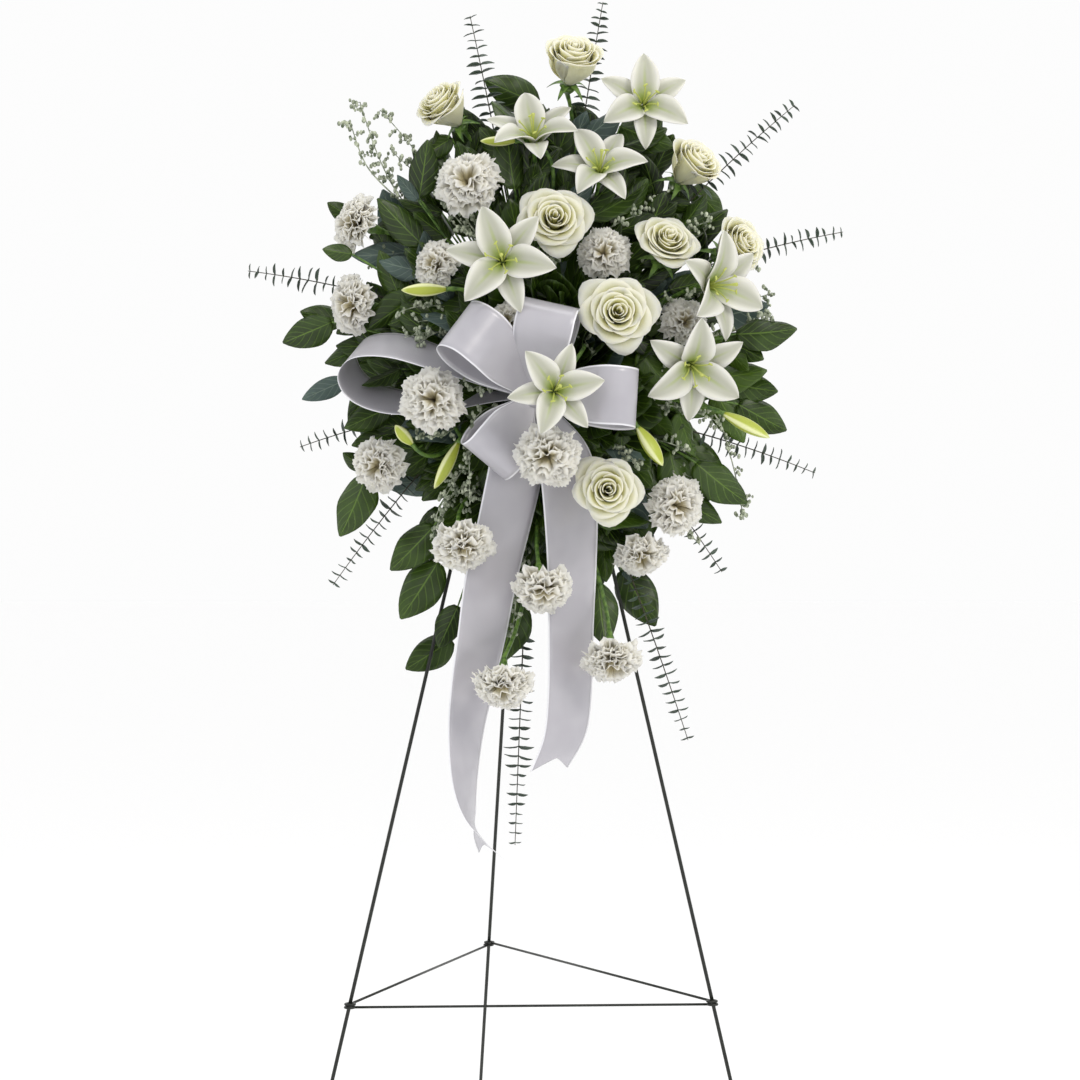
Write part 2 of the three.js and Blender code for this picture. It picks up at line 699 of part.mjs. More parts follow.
// Lily buds, each a long spindle with three grooves, lying from its base to its tip.
const BUDS = [
  { base: [515, 141], tip: [480, 141], out: 64, width: 13 },
  { base: [446, 289], tip: [401, 290], out: 118, width: 17 },
  { base: [458, 443], tip: [434, 489], out: 96, width: 17 },
  { base: [638, 428], tip: [663, 466], out: 118, width: 20 },
  { base: [724, 414], tip: [770, 438], out: 92, width: 18 },
  { base: [412, 444], tip: [395, 425], out: 102, width: 16 },
];

function budSolid({ base, tip, out, width }) {
  const [from, to] = [seen(base, out), seen(tip, out + 8)];
  const length = from.distanceTo(to);
  const rings = [[0, 0], [0.35, 0], [0.85, 0.25], [1, 0.55], [0.62, 0.85], [0, 1]].map(
    ([r, z]) => [(r * width) / 2, z * length],
  );
  const geometry = turnedHead(rings, 6, (ring, angle) => [1 + 0.1 * Math.cos(3 * angle), 0]);
  return solid(geometry, stand(from, to.clone().sub(from), vec(0, -1, 0.2)));
}

// Where each bloom's stem has to reach, and the way that the bloom faces.
const stemEnds = [];

function blooms() {
  const head = (name, form, colour, { photo, out, turn, lift, height }, calyx) => {
    const axis = heading(turn, lift);
    const seat = seen(photo, out).addScaledVector(axis, -height / 2);
    add(name, solid(form, stand(seat, axis, vec(0, 0, 1))), colour);
    stemEnds.push({ name, seat, axis, calyx });
  };
  ROSES.forEach((rose, i) =>
    head(`rose_${i + 1}`, roseHead(rose.width, rose.height), "rose", rose, "sepals"),
  );
  CARNATIONS.forEach((flower, i) => {
    const form = carnationHead(flower.width, flower.height);
    head(`carnation_${i + 1}`, form, "carnation", flower, "cup");
  });
  LILIES.forEach(({ photo, out, turn, lift, length, opening, turned, by }, i) => {
    const axis = heading(turn, lift);
    const seat = seen(photo, out);
    const form = lilySolid(length, opening, turned * DEGREE);
    const matrix = stand(seat, axis, vec(0, 0, 1));
    add(`lily_${i + 1}`, form.transform(matrix.toArray()), "lily");
    stemEnds.push({ name: `lily_${i + 1}`, seat, axis, calyx: "none", by });
  });
  BUDS.forEach((bud, i) => {
    add(`lily_bud_${i + 1}`, budSolid(bud), "bud");
    const [seat, tip] = [seen(bud.base, bud.out), seen(bud.tip, bud.out + 8)];
    const axis = tip.sub(seat).normalize();
    stemEnds.push({ name: `lily_bud_${i + 1}`, seat, axis, calyx: "none" });
  });
}

// Eucalyptus

// Straight sprigs of small leaves in pairs, seen from root to tip. Some fork at the root.
const SPRIGS = [
  [{ root: [522, 284], tip: [470, 16], out: 10 }],
  [{ root: [560, 282], tip: [603, 2], out: -14 }],
  [
    { root: [590, 310], tip: [795, 105], out: -18 },
    { root: [590, 310], tip: [843, 232], out: -24 },
  ],
  [{ root: [486, 330], tip: [248, 271], out: -8 }],
  [
    { root: [482, 404], tip: [300, 447], out: 20 },
    { root: [482, 404], tip: [333, 585], out: 20 },
  ],
  [
    { root: [602, 412], tip: [815, 473], out: 10 },
    { root: [602, 412], tip: [722, 572], out: 26 },
  ],
  [{ root: [588, 468], tip: [688, 740], out: 30 }],
  [{ root: [530, 488], tip: [515, 845], out: 30 }],
];
const SPRIG_BARE = 0.42;
const SPRIG_ROOT_OUT = 14;
const PAIR_SPACING = 18;
const LEAFLET_WIDTH = 8;
const LEAFLET_SHORT = 8;
const LEAFLET_LONG = 15;
const TWIG = 2.4;

function sprigCurve({ root, tip, out }) {
  const [from, to] = [seen(root, SPRIG_ROOT_OUT), seen(tip, out)];
  const arch = vec(0, 0, 0.06 * from.distanceTo(to));
  const middle = from.clone().add(to).multiplyScalar(0.5).add(arch);
  return new THREE.QuadraticBezierCurve3(from, middle, to);
}

// One closed skin: a four-sided twig whose side faces are drawn out to leaf tips at each pair.
function sprig(line, random) {
  const curve = sprigCurve(line);
  const length = curve.getLength();
  const pairs = Math.floor((length * (1 - SPRIG_BARE)) / PAIR_SPACING);
  const starts = Array.from({ length: pairs }, (_, i) => length - (pairs - i) * PAIR_SPACING);
  const stops = [0, ...starts.flatMap((d) => [d, d + LEAFLET_WIDTH]), length];
  const rings = stops.map((d, i) => {
    const u = Math.min(1, d / length);
    const [at, way] = [curve.getPointAt(u), curve.getTangentAt(u)];
    const pair = Math.floor((i - 1) / 2);
    const side = vec(0, 1, 0).cross(way).applyAxisAngle(way, pair % 2 ? 0.45 : -0.45).normalize();
    const front = way.clone().cross(side);
    const corner = (a, b) =>
      at.clone().addScaledVector(side, (a * TWIG) / 2).addScaledVector(front, (b * TWIG) / 2);
    return { way, side, at, corners: [corner(1, 1), corner(-1, 1), corner(-1, -1), corner(1, -1)] };
  });
  const { triangle, quad, closed } = faces();
  for (let i = 0; i + 1 < rings.length; i++) {
    const [low, high] = [rings[i].corners, rings[i + 1].corners];
    const pair = i % 2 === 1;
    const towardsTip = Math.min(1, (rings.length - i) / 9);
    const reach = (LEAFLET_SHORT + (LEAFLET_LONG - LEAFLET_SHORT) * towardsTip) * (0.85 + 0.3 * random());
    for (let j = 0; j < 4; j++) {
      const k = (j + 1) % 4;
      if (pair && j % 2 === 1) {
        const turned = rings[i].side.clone().multiplyScalar(j === 3 ? reach : -reach);
        const tip = rings[i].at.clone().add(turned).addScaledVector(rings[i].way, LEAFLET_WIDTH);
        triangle(low[j], low[k], tip);
        triangle(low[k], high[k], tip);
        triangle(high[k], high[j], tip);
        triangle(high[j], low[j], tip);
      } else quad(low[j], low[k], high[k], high[j]);
    }
  }
  quad(...rings[0].corners.reverse());
  quad(...rings[rings.length - 1].corners);
  return closed();
}

// Seeded eucalyptus: thin branching strings of seeds, seen from their root outwards.
const SEED_SPRAYS = [
  {
    name: "seeded_left",
    out: 14,
    strings: [
      [[484, 305], [408, 208], [380, 160], [360, 102]],
      [[408, 208], [368, 168], [350, 122]],
      [[484, 305], [412, 252], [366, 262]],
    ],
  },
  {
    name: "seeded_right",
    out: 26,
    strings: [
      [[600, 350], [710, 312], [770, 294]],
      [[600, 350], [722, 334], [772, 314]],
      [[600, 350], [704, 404], [730, 455], [744, 520]],
    ],
  },
  {
    name: "seeded_middle",
    out: 100,
    strings: [
      [[480, 410], [444, 434], [418, 436]],
      [[480, 410], [470, 452], [470, 505]],
    ],
  },
];
const SEED_ROOT_OUT = 14;
const SEED_SPACING = 20;
const STRING_RADIUS = 1.2;
const SEED_LENGTH = 9;

function seedCurve(points, { out, strings }) {
  const outAt = (photo) => (photo.join() === strings[0][0].join() ? SEED_ROOT_OUT : out);
  return new THREE.CatmullRomCurve3(points.map((photo) => seen(photo, outAt(photo))));
}

function seedString(points, spray, random) {
  const curve = seedCurve(points, spray);
  const parts = [tube(curve, STRING_RADIUS, 3, 2 * (points.length - 1))];
  const length = curve.getLength();
  const profile = [[0, 0], [2.6, 0.7], [0, 1]].map(([r, h]) => new THREE.Vector2(r, h * SEED_LENGTH));
  for (let d = 1; d < length * 0.66; d += SEED_SPACING) {
    const at = curve.getPointAt(1 - d / length);
    const way = vec(random() - 0.5, random() - 0.5, random() - 0.2);
    const seed = new THREE.LatheGeometry(profile, 3).rotateX(Math.PI / 2);
    parts.push(solid(seed, stand(at, way, vec(0.1, 1, 0.2))));
  }
  return parts;
}

function eucalyptus() {
  const random = seeded(11);
  SPRIGS.forEach((lines, i) => {
    const parts = lines.map((line) => sprig(line, random));
    add(`eucalyptus_${i + 1}`, wholeBody(joined(parts)), "eucalyptus");
  });
  for (const spray of SEED_SPRAYS) {
    const parts = spray.strings.flatMap((points) => seedString(points, spray, random));
    add(spray.name, wholeBody(joined(parts)), "seeded");
  }
}

// The holes in which the sprigs and strings stand.
function sprigHoles() {
  const sprigs = SPRIGS.flat().map((line) => {
    const curve = sprigCurve(line);
    const way = curve.getTangentAt(0);
    const start = curve.getPointAt(0).addScaledVector(way, -3);
    return rod(start, curve.getPointAt(SPRIG_BARE), 0.71 * TWIG + 2 * GAP, 5);
  });
  const strings = SEED_SPRAYS.flatMap((spray) =>
    spray.strings
      .filter((points) => points[0].join() === spray.strings[0][0].join())
      .map((points) => {
        const bore = tube(seedCurve(points, spray), STRING_RADIUS + 2 * GAP, 3, 2 * (points.length - 1));
        const end = new THREE.SphereGeometry(STRING_RADIUS + 4 * GAP, 6, 4);
        const root = seen(points[0], SEED_ROOT_OUT);
        return bore.add(solid(end, new THREE.Matrix4().makeTranslation(...root.toArray())));
      }),
  );
  return joined([...sprigs, ...strings]);
}

// Greenery

const MAT_BACK = 17;
const MAT_EDGE = 0.86;
// Each calyx: its radius at the bloom, its radius at the stem, and its length.
const CALYXES = { sepals: [12, 3, 10], cup: [8, 3, 16], none: [3.8, 3, 6] };

// Dark leaves that show at the edge of the spray, seen from base to tip.
const EDGE_LEAVES = [
  { base: [538, 104], tip: [484, 80], out: 10 },
  { base: [452, 138], tip: [420, 158], out: 12 },
  { base: [354, 220], tip: [327, 203], out: 18 },
  { base: [352, 254], tip: [322, 250], out: 16 },
  { base: [332, 322], tip: [283, 344], out: 22 },
  { base: [342, 322], tip: [300, 312], out: 10 },
  { base: [345, 380], tip: [302, 400], out: 30 },
  { base: [366, 476], tip: [343, 538], out: 40 },
  { base: [364, 470], tip: [343, 452], out: 20 },
  { base: [434, 526], tip: [392, 572], out: 52 },
  { base: [438, 562], tip: [402, 620], out: 50 },
  { base: [458, 606], tip: [438, 648], out: 40 },
  { base: [452, 640], tip: [406, 670], out: 30 },
  { base: [518, 600], tip: [502, 664], out: 60 },
  { base: [622, 570], tip: [656, 626], out: 50 },
  { base: [598, 584], tip: [604, 646], out: 44 },
  { base: [696, 463], tip: [745, 506], out: 48 },
  { base: [736, 334], tip: [797, 333], out: 30 },
  { base: [724, 338], tip: [764, 360], out: 44 },
  { base: [728, 384], tip: [778, 392], out: 34 },
  { base: [738, 404], tip: [786, 432], out: 26 },
  { base: [620, 126], tip: [673, 150], out: 18 },
  { base: [694, 186], tip: [722, 220], out: 14 },
  { base: [418, 200], tip: [396, 176], out: 40 },
  { base: [412, 252], tip: [352, 258], out: 36 },
];
const FILL_LEAVES = 24;
// Leaves between the blooms, spread over an oval as it is seen from the front.
const SPREAD = { middle: [548, 345], half: [185, 245], inner: 0.45, leaves: 36 };
const STEM_CLEARANCE = 1.2;
const STALK_RADIUS = 1.5;
const LEAF_THICKNESS = 1.3;
const LEAF_CLEARANCE = 1.2;

function leafBlade(length, thickness) {
  return blade(3, 2, thickness, (u, v) => {
    const swell = Math.sin(Math.PI * Math.pow(Math.min(1, Math.max(0, u)), 0.8));
    const half = 0.29 * length * Math.pow(swell, 0.75);
    return vec(v * half, Math.abs(v) * half * 0.28 - 0.16 * length * u * u, u * length);
  });
}

// The place in the mat of greens that lies behind a point, at a share of the mat's depth there.
function matPoint(towards, depth) {
  const [across, , up] = [0, 1, 2].map(
    (k) => (towards.getComponent(k) - MAT_MIDDLE[k]) / MAT_HALF[k],
  );
  const inward = Math.min(1, MAT_EDGE / Math.hypot(across, up));
  const [x, z] = [across * inward, up * inward];
  const y = -depth * Math.sqrt(1 - x * x - z * z);
  return vec(x, y, z).multiply(vec(...MAT_HALF)).add(vec(...MAT_MIDDLE));
}

function anyWay(random, length) {
  return vec(random() - 0.5, random() - 0.5, random() - 0.5).setLength(length);
}

function bentRod(from, to, bend, radius, sides) {
  const middle = from.clone().add(to).multiplyScalar(0.5).add(bend);
  return tube(new THREE.QuadraticBezierCurve3(from, middle, to), radius, sides, 3);
}

// A closed tube along a curve, with a radius for each of its rings.
function taperedTube(curve, radii, sides) {
  const steps = radii.length - 1;
  const frames = curve.computeFrenetFrames(steps);
  const rings = radii.map((radius, i) =>
    Array.from({ length: sides }, (_, j) => {
      const angle = (2 * Math.PI * j) / sides;
      return curve
        .getPointAt(i / steps)
        .addScaledVector(frames.normals[i], radius * Math.cos(angle))
        .addScaledVector(frames.binormals[i], radius * Math.sin(angle));
    }),
  );
  return skin(rings);
}

// A stem from a bloom down to the mat, widened to its calyx and bent clear of what it passes.
function stemFor({ name, seat, axis, calyx, by }, seed) {
  const random = seeded(seed);
  const [wide, slim, tall] = CALYXES[calyx];
  const tries = 300;
  const straightTries = 60;
  const top = seat.clone().addScaledVector(axis, -GAP);
  if (by) {
    const points = by.map(([across, down, out]) => seen([across, down], out));
    const neck = top.clone().addScaledVector(axis, -9);
    const curve = new THREE.CatmullRomCurve3([top, neck, ...points]);
    return taperedTube(curve, [wide, ...Array(6).fill(slim)], 3);
  }
  for (let attempt = 0; attempt < tries; attempt++) {
    const stray = (attempt * 3) % 180;
    const sway = attempt < straightTries ? 0 : attempt % 70;
    const root = matPoint(top.clone().addScaledVector(axis, -tall).add(anyWay(random, stray)), 0.8);
    const reach = top.distanceTo(root);
    const hook = top.clone().addScaledVector(axis, -tall - 0.3 * reach).add(anyWay(random, sway));
    const turn = root.clone().add(vec(0, -80 * random(), 0));
    const curve =
      attempt < straightTries
        ? new THREE.QuadraticBezierCurve3(top, hook, root)
        : new THREE.CubicBezierCurve3(top, hook, turn, root);
    const radii = (grow) => [wide, wide * 0.9, slim, slim, slim].map((radius) => radius + grow);
    const stem = taperedTube(curve, radii(0), 3);
    if (isClear(stem) && isClear(taperedTube(curve, radii(STEM_CLEARANCE), 3), [name])) return stem;
  }
  throw new Error(`no way found for the stem of ${name}`);
}

function leafWithStalk(base, tip, facing, random) {
  const along = tip.clone().sub(base);
  const length = along.length();
  const matrix = stand(base, along, facing);
  if (!isClear(solid(leafBlade(length, LEAF_THICKNESS + LEAF_CLEARANCE), matrix))) return null;
  const leaf = solid(leafBlade(length, LEAF_THICKNESS), matrix);
  const inside = base.clone().addScaledVector(along, 0.12);
  for (let attempt = 0; attempt < 14; attempt++) {
    const root = matPoint(base.clone().add(anyWay(random, attempt * 6)), 0.85);
    const bend = vec(random() - 0.5, random(), random() - 0.5).setLength(attempt * 5);
    if (isClear(bentRod(inside, root, bend, STALK_RADIUS + 0.8, 3)))
      return [leaf, bentRod(inside, root, bend, STALK_RADIUS, 3)];
  }
  return null;
}

function spreadLeaves(random) {
  const found = [];
  for (let i = 0; i < SPREAD.leaves; i++) {
    const angle = i * 137.5 * DEGREE;
    const ring = SPREAD.inner + (1 - SPREAD.inner) * Math.sqrt((i + 0.5) / SPREAD.leaves);
    let leaf = null;
    for (let attempt = 0; attempt < 10 && !leaf; attempt++) {
      const reach = ring * (1 - 0.05 * attempt * random());
      const base = [Math.cos(angle), Math.sin(angle)].map(
        (share, k) => SPREAD.middle[k] + SPREAD.half[k] * reach * share,
      );
      const turn = angle + 1.6 * (random() - 0.5);
      const length = 58 + 24 * random();
      const tip = [base[0] + length * Math.cos(turn), base[1] + length * Math.sin(turn)];
      const out = 55 * (1 - ring) + 50 * random() - 10;
      const facing = heading(60 * (random() - 0.5), 50 * random() - 10).negate();
      const rise = 20 * (random() - 0.5);
      leaf = leafWithStalk(seen(base, out), seen(tip, out + rise), facing, random);
    }
    if (leaf) found.push(...leaf);
  }
  return found;
}

function leaves(random) {
  const found = [];
  EDGE_LEAVES.forEach(({ base, tip, out }) => {
    const facing = heading(30 * (random() - 0.5), 30 * random() - 5).negate();
    let leaf = null;
    for (let k = 0; k < 8 && !leaf; k++) {
      const shift = (k % 2 ? -1 : 1) * Math.ceil(k / 2) * 12;
      leaf = leafWithStalk(seen(base, out + shift - 6), seen(tip, out + shift), facing, random);
    }
    if (leaf) found.push(...leaf);
  });
  for (let i = 0; i < FILL_LEAVES; i++) {
    const angle = i * 137.5 * DEGREE;
    const ring = Math.sqrt((i + 0.5) / FILL_LEAVES);
    for (let k = 0; k < 12; k++) {
      const away = vec(ring * Math.cos(angle), -0.2 - 0.8 * (1 - ring), ring * Math.sin(angle));
      const stray = vec(random() - 0.5, random() - 0.5, random() - 0.5);
      away.add(stray.multiplyScalar(0.5 + 0.08 * k));
      const root = matPoint(vec(...MAT_MIDDLE).add(away.clone().multiply(vec(...MAT_HALF))), 0.9);
      const grow = away.clone().setLength(1).add(vec(0, 0.35, -0.1)).normalize();
      const matrix = stand(root, grow, heading(60 * (random() - 0.5), 50 * random()).negate());
      const length = 74 + 36 * random();
      if (!isClear(solid(leafBlade(length, LEAF_THICKNESS + LEAF_CLEARANCE), matrix))) continue;
      found.push(solid(leafBlade(length, LEAF_THICKNESS), matrix));
      break;
    }
  }
  return found;
}

// The mat of greens, cut free of the tray, the foam and all that stands in it.
function matOfGreens() {
  const mound = solid(
    new THREE.SphereGeometry(1, 14, 10),
    new THREE.Matrix4().makeTranslation(...MAT_MIDDLE).scale(vec(...MAT_HALF)),
  );
  const [width, depth, height] = FOAM_SIZE;
  const behind = block([600, 300, 900], leaning(0, MAT_BACK - 150, 0));
  const room = 2 * (TRAY_WALL + 2 * GAP);
  const tray = block(
    [width + room, 2 * TRAY_RIM, height + room],
    leaning(0, trayBack + GAP, 0),
  );
  const brick = block(
    [width + 2 * GAP, 2 * depth, height + 2 * GAP],
    leaning(0, foamMiddle - depth / 2 + GAP, 0),
  );
  const tab = block([TAB_WIDTH + 4, 60, 300], leaning(0, -20, 200));
  return mound.subtract(joined([behind, tray, brick, tab, pickRod(GAP, 2), sprigHoles()]));
}

function greenery() {
  const front = foamMiddle + FOAM_SIZE[1] / 2;
  const feet = pegs.map(([x, z]) =>
    rod(onTray(x, front - PEG_DEPTH, z), onTray(x, front + 12, z), PEG_RADIUS, 6),
  );
  const stems = stemEnds.map((end, i) => stemFor(end, 100 + i));
  const all = joined([matOfGreens(), ...feet, ...stems, ...leaves(seeded(5)), ...spreadLeaves(seeded(9))]);
  add("greenery", wholeBody(all), "leaf");
}

easel();
holder();
ribbon();
blooms();
eucalyptus();
greenery();

spray.position.set(...TO_MIDDLE, 0);
export default spray;
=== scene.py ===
import math
import random
from functools import partial

import bmesh
import bpy
from bpy.props import FloatProperty, FloatVectorProperty, IntProperty, PointerProperty
from mathutils import Matrix, Vector
from mathutils.bvhtree import BVHTree


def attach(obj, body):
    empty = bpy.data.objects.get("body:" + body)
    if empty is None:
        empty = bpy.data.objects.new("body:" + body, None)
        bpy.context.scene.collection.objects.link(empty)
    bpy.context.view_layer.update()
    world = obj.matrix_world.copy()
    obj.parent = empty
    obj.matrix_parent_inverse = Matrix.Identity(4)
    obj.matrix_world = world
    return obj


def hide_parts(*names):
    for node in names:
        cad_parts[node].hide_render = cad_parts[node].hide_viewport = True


bl_info = {
    "name": "Standing Funeral Spray",
    "version": (1, 0, 0),
    "blender": (4, 5, 0),
    "location": "3D View > Sidebar > Spray",
    "description": "Builds the looks of a standing spray of white flowers on a wire easel",
    "category": "Object",
}

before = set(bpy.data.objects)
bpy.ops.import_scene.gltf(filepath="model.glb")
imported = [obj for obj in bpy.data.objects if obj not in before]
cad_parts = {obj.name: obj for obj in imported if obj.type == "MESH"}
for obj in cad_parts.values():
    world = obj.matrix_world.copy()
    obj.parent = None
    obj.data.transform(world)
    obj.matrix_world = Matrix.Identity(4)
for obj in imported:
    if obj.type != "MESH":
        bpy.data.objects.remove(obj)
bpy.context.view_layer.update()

# Places are given as they are seen from the front: a pixel of a view 1080 pixels square, and how
# far in front of the spray's own plane, in millimetres. Sizes below are millimetres too.
MM = 0.001
MM_PER_PIXEL = 1.2
VIEW_MIDDLE = 540
VIEW_DISTANCE = 3400
VIEW_HEIGHT = 938
TO_MIDDLE = (-8, -129)

# Easel
LEG_RADIUS = 2.25
BRACE_RADIUS = 1.5
APEX = (-10, 60, 1319)
LEFT_FOOT = (-312, -153, 0)
RIGHT_FOOT = (292, -153, 0)
BACK_FOOT = (-93, 477, 0)
BRACE_HEIGHT = 392
BACK_BRACE_HEIGHT = 402
RING_RADIUS = 5.6
RING_SHIFT = 0.8
RING_GAP = 0.5
NECK = 20
# The legs bend from below to above the apex, and are cut off at the floor
BEND_BELOW = 3
BEND_ABOVE = 1.5
PAST_FLOOR = 8
EYE_HEIGHT = 7
HALF_APART = LEG_RADIUS + 0.275
EYE_RADIUS = HALF_APART + 2 * LEG_RADIUS + 0.65

# The mound of greens over the foam
MAT_MIDDLE = Vector((2, 0, 1122))
MAT_HALF = Vector((98, 74, 158))

# Ribbon
RIBBON_WIDTH = 68
KNOT = (533, 396)
KNOT_OUT = 118
KNOT_RADIUS = 15
KNOT_WIDTH = 26
KNOT_PLEATS = 5
PICK_LENGTH = 90
PICK_RADIUS = 2

# Thickness of petals, leaves and ribbon
ROSE_PETAL_THICKNESS = 0.45
CARNATION_PETAL_THICKNESS = 0.35
TEPAL_THICKNESS = 0.9
LEAF_THICKNESS = 0.5
RIBBON_THICKNESS = 0.35

# Height over width of a rose that is fully open
OPEN_ROSE_SHAPE = 0.62
SEPALS = 5
SEPAL_SEAT = 7
SEPAL_REACH = 22
# Pixel, out, turn to the right, lift, width, height
ROSES = [
    ((572, 62), 35, 10, 48, 68, 66),
    ((444, 108), 30, -48, 38, 76, 62),
    ((554, 221), 116, 4, 14, 90, 56),
    ((692, 166), 42, 42, 36, 68, 62),
    ((666, 245), 92, 16, 34, 80, 58),
    ((736, 246), 40, 44, 18, 70, 60),
    ((617, 314), 150, 5, 8, 94, 56),
    ((607, 490), 140, 4, 2, 86, 54),
]
CARNATIONS = [
    ((467, 182), 92, -20, 20, 82, 46),
    ((355, 223), 32, -58, 12, 72, 42),
    ((352, 304), 42, -48, 0, 74, 42),
    ((436, 264), 84, -34, 10, 62, 38),
    ((433, 399), 146, -8, 4, 80, 44),
    ((379, 465), 78, -30, -10, 72, 42),
    ((604, 253), 92, 0, 14, 68, 40),
    ((548, 456), 172, 0, -14, 78, 42),
    ((464, 547), 138, 14, -42, 76, 42),
    ((543, 590), 138, 10, -46, 76, 42),
    ((502, 686), 136, -4, -48, 74, 42),
    ((612, 661), 108, 6, -54, 76, 42),
    ((676, 505), 84, 26, -2, 78, 42),
    ((641, 556), 68, 10, -46, 68, 36),
    ((507, 321), 93, -6, 14, 52, 30),
    ((684, 322), 84, 16, 16, 60, 36),
]
# Pixel of the throat, out, turn, lift, tepal length, opening, turned about its axis
LILIES = [
    ((642, 108), 30, 6, 12, 66, 92, 0),
    ((534, 148), 52, -4, 44, 68, 74, 12),
    ((599, 177), 60, 2, 32, 64, 88, 30),
    ((503, 263), 142, -3, 4, 74, 88, 20),
    ((702, 286), 90, 42, -2, 76, 74, 8),
    ((688, 362), 96, 14, -20, 74, 84, 0),
    ((553, 392), 178, 8, 4, 64, 84, 40),
]
TEPALS = 6
LILY_THROAT = 5
# The three inner tepals stand higher and are wider, and the outer ones open further
INNER_TEPAL_RISE = 5
INNER_TEPAL_WIDTH = 0.53
OUTER_TEPAL_WIDTH = 0.42
OUTER_TEPAL_FALL = 8
# Stems led through given places: the lily's index, then pixel and out of each place that its stem
# goes through
LILY_WAYS = {6: [((582, 351), 138), ((583, 345), 82), ((583, 345), 60)]}
# Pixel of the base, pixel of the tip, out, width
BUDS = [
    ((515, 141), (480, 141), 64, 13),
    ((446, 289), (401, 290), 118, 17),
    ((458, 443), (434, 489), 96, 17),
    ((638, 428), (663, 466), 118, 20),
    ((724, 414), (770, 438), 92, 18),
    ((412, 444), (395, 425), 102, 16),
]
BUD_LEAN = 8
# Pixel of the root, pixel of the tip, out
SPRIGS = [
    [((522, 284), (470, 16), 10)],
    [((560, 282), (603, 2), -14)],
    [((590, 310), (795, 105), -18), ((590, 310), (843, 232), -24)],
    [((486, 330), (248, 271), -8)],
    [((482, 404), (300, 447), 20), ((482, 404), (333, 585), 20)],
    [((602, 412), (815, 473), 10), ((602, 412), (722, 572), 26)],
    [((588, 468), (688, 740), 30)],
    [((530, 488), (515, 845), 30)],
]
SPRIG_BARE = 0.42
ROOT_OUT = 14
TWIG_RADIUS = 1.2
PAIR_SPACING = 10.5
SEED_SPRAYS = {
    "seeded_left": (14, [
        [(484, 305), (408, 208), (380, 160), (360, 102)],
        [(408, 208), (368, 168), (350, 122)],
        [(484, 305), (412, 252), (366, 262)],
    ]),
    "seeded_right": (26, [
        [(600, 350), (710, 312), (770, 294)],
        [(600, 350), (722, 334), (772, 314)],
        [(600, 350), (704, 404), (730, 455), (744, 520)],
    ]),
    "seeded_middle": (100, [
        [(480, 410), (444, 434), (418, 436)],
        [(480, 410), (470, 452), (470, 505)],
    ]),
}
# Large leaves at the edge: pixel of the base, pixel of the tip, out, kind
EDGE_LEAVES = [
    ((538, 104), (484, 80), 10, "salal"),
    ((452, 138), (420, 158), 12, "salal"),
    ((354, 220), (327, 203), 18, "salal"),
    ((352, 254), (322, 250), 16, "salal"),
    ((332, 322), (283, 344), 22, "salal"),
    ((342, 322), (300, 312), 10, "salal"),
    ((345, 380), (302, 400), 30, "silver"),
    ((366, 476), (343, 538), 40, "salal"),
    ((364, 470), (343, 452), 20, "salal"),
    ((434, 526), (392, 572), 52, "salal"),
    ((438, 562), (402, 620), 50, "salal"),
    ((458, 606), (438, 648), 40, "salal"),
    ((452, 640), (406, 670), 30, "salal"),
    ((518, 600), (502, 664), 60, "salal"),
    ((622, 570), (656, 626), 50, "salal"),
    ((598, 584), (604, 646), 44, "salal"),
    ((696, 463), (745, 506), 48, "salal"),
    ((736, 334), (797, 333), 30, "salal"),
    ((724, 338), (764, 360), 44, "salal"),
    ((728, 384), (778, 392), 34, "salal"),
    ((738, 404), (786, 432), 26, "salal"),
    ((620, 126), (673, 150), 18, "salal"),
    ((694, 186), (722, 220), 14, "salal"),
    ((418, 200), (396, 176), 40, "silver"),
    ((412, 252), (352, 258), 36, "silver"),
]
# Leaves that close gaps behind the bow: pixel of the base, pixel of the tip, out
BACK_LEAVES = [
    ((500, 396), (448, 372), 66), ((508, 412), (452, 400), 58), ((500, 384), (446, 350), 60),
    ((478, 392), (446, 424), 44), ((560, 424), (600, 448), 62), ((500, 440), (452, 470), 40),
    ((500, 330), (456, 290), 70), ((470, 360), (420, 380), 40), ((600, 350), (650, 330), 60),
    ((440, 300), (400, 270), 30), ((450, 240), (412, 214), 20), ((620, 200), (660, 180), 20),
]
# The oval over which leaves are spread, as pixels
SPREAD_MIDDLE = (548, 345)
SPREAD_HALF = (178, 222)
SPREAD_INNER = 0.15

# Loops of the bow: pixel of the far end, out, bulge, curl, out of its root
LOOPS = [
    ((457, 323), 168, 46, (0, 20), KNOT_OUT),
    ((551, 303), 150, 46, (0, 25), KNOT_OUT),
    ((636, 398), 160, 44, (-30, 5), KNOT_OUT),
    ((484, 462), 138, 32, (0, -25), KNOT_OUT),
    ((347, 366), 62, 56, (-35, 62), 112),
]
LOOP_START = math.radians(24)
LOOP_PINCH = 0.18
# Stations of the tails: pixel, out, turned away from the viewer in degrees, share of the width
TAIL_LEFT = [
    ((529, 400), 110, 15, 0.25), ((519, 434), 98, 15, 0.8), ((514, 478), 96, 20, 1),
    ((504, 525), 94, 22, 1), ((491, 580), 91, 26, 1), ((482, 635), 88, 34, 1),
    ((473, 685), 86, 42, 1), ((466, 735), 84, 54, 1), ((465, 782), 82, 66, 1),
    ((470, 815), 80, 80, 1), ((479, 838), 79, 102, 1), ((491, 856), 78, 116, 1),
]
TAIL_RIGHT = [
    ((538, 400), 108, 12, 0.25), ((560, 438), 93, 12, 0.8), ((568, 472), 90, 16, 1),
    ((571, 515), 88, 22, 1), ((572, 570), 86, 32, 1), ((571, 630), 84, 38, 1),
    ((570, 690), 82, 40, 1), ((565, 735), 80, 42, 1), ((549, 770), 78, 50, 1),
]
TAIL_NOTCH = 18
TAIL_CUP = 1.5
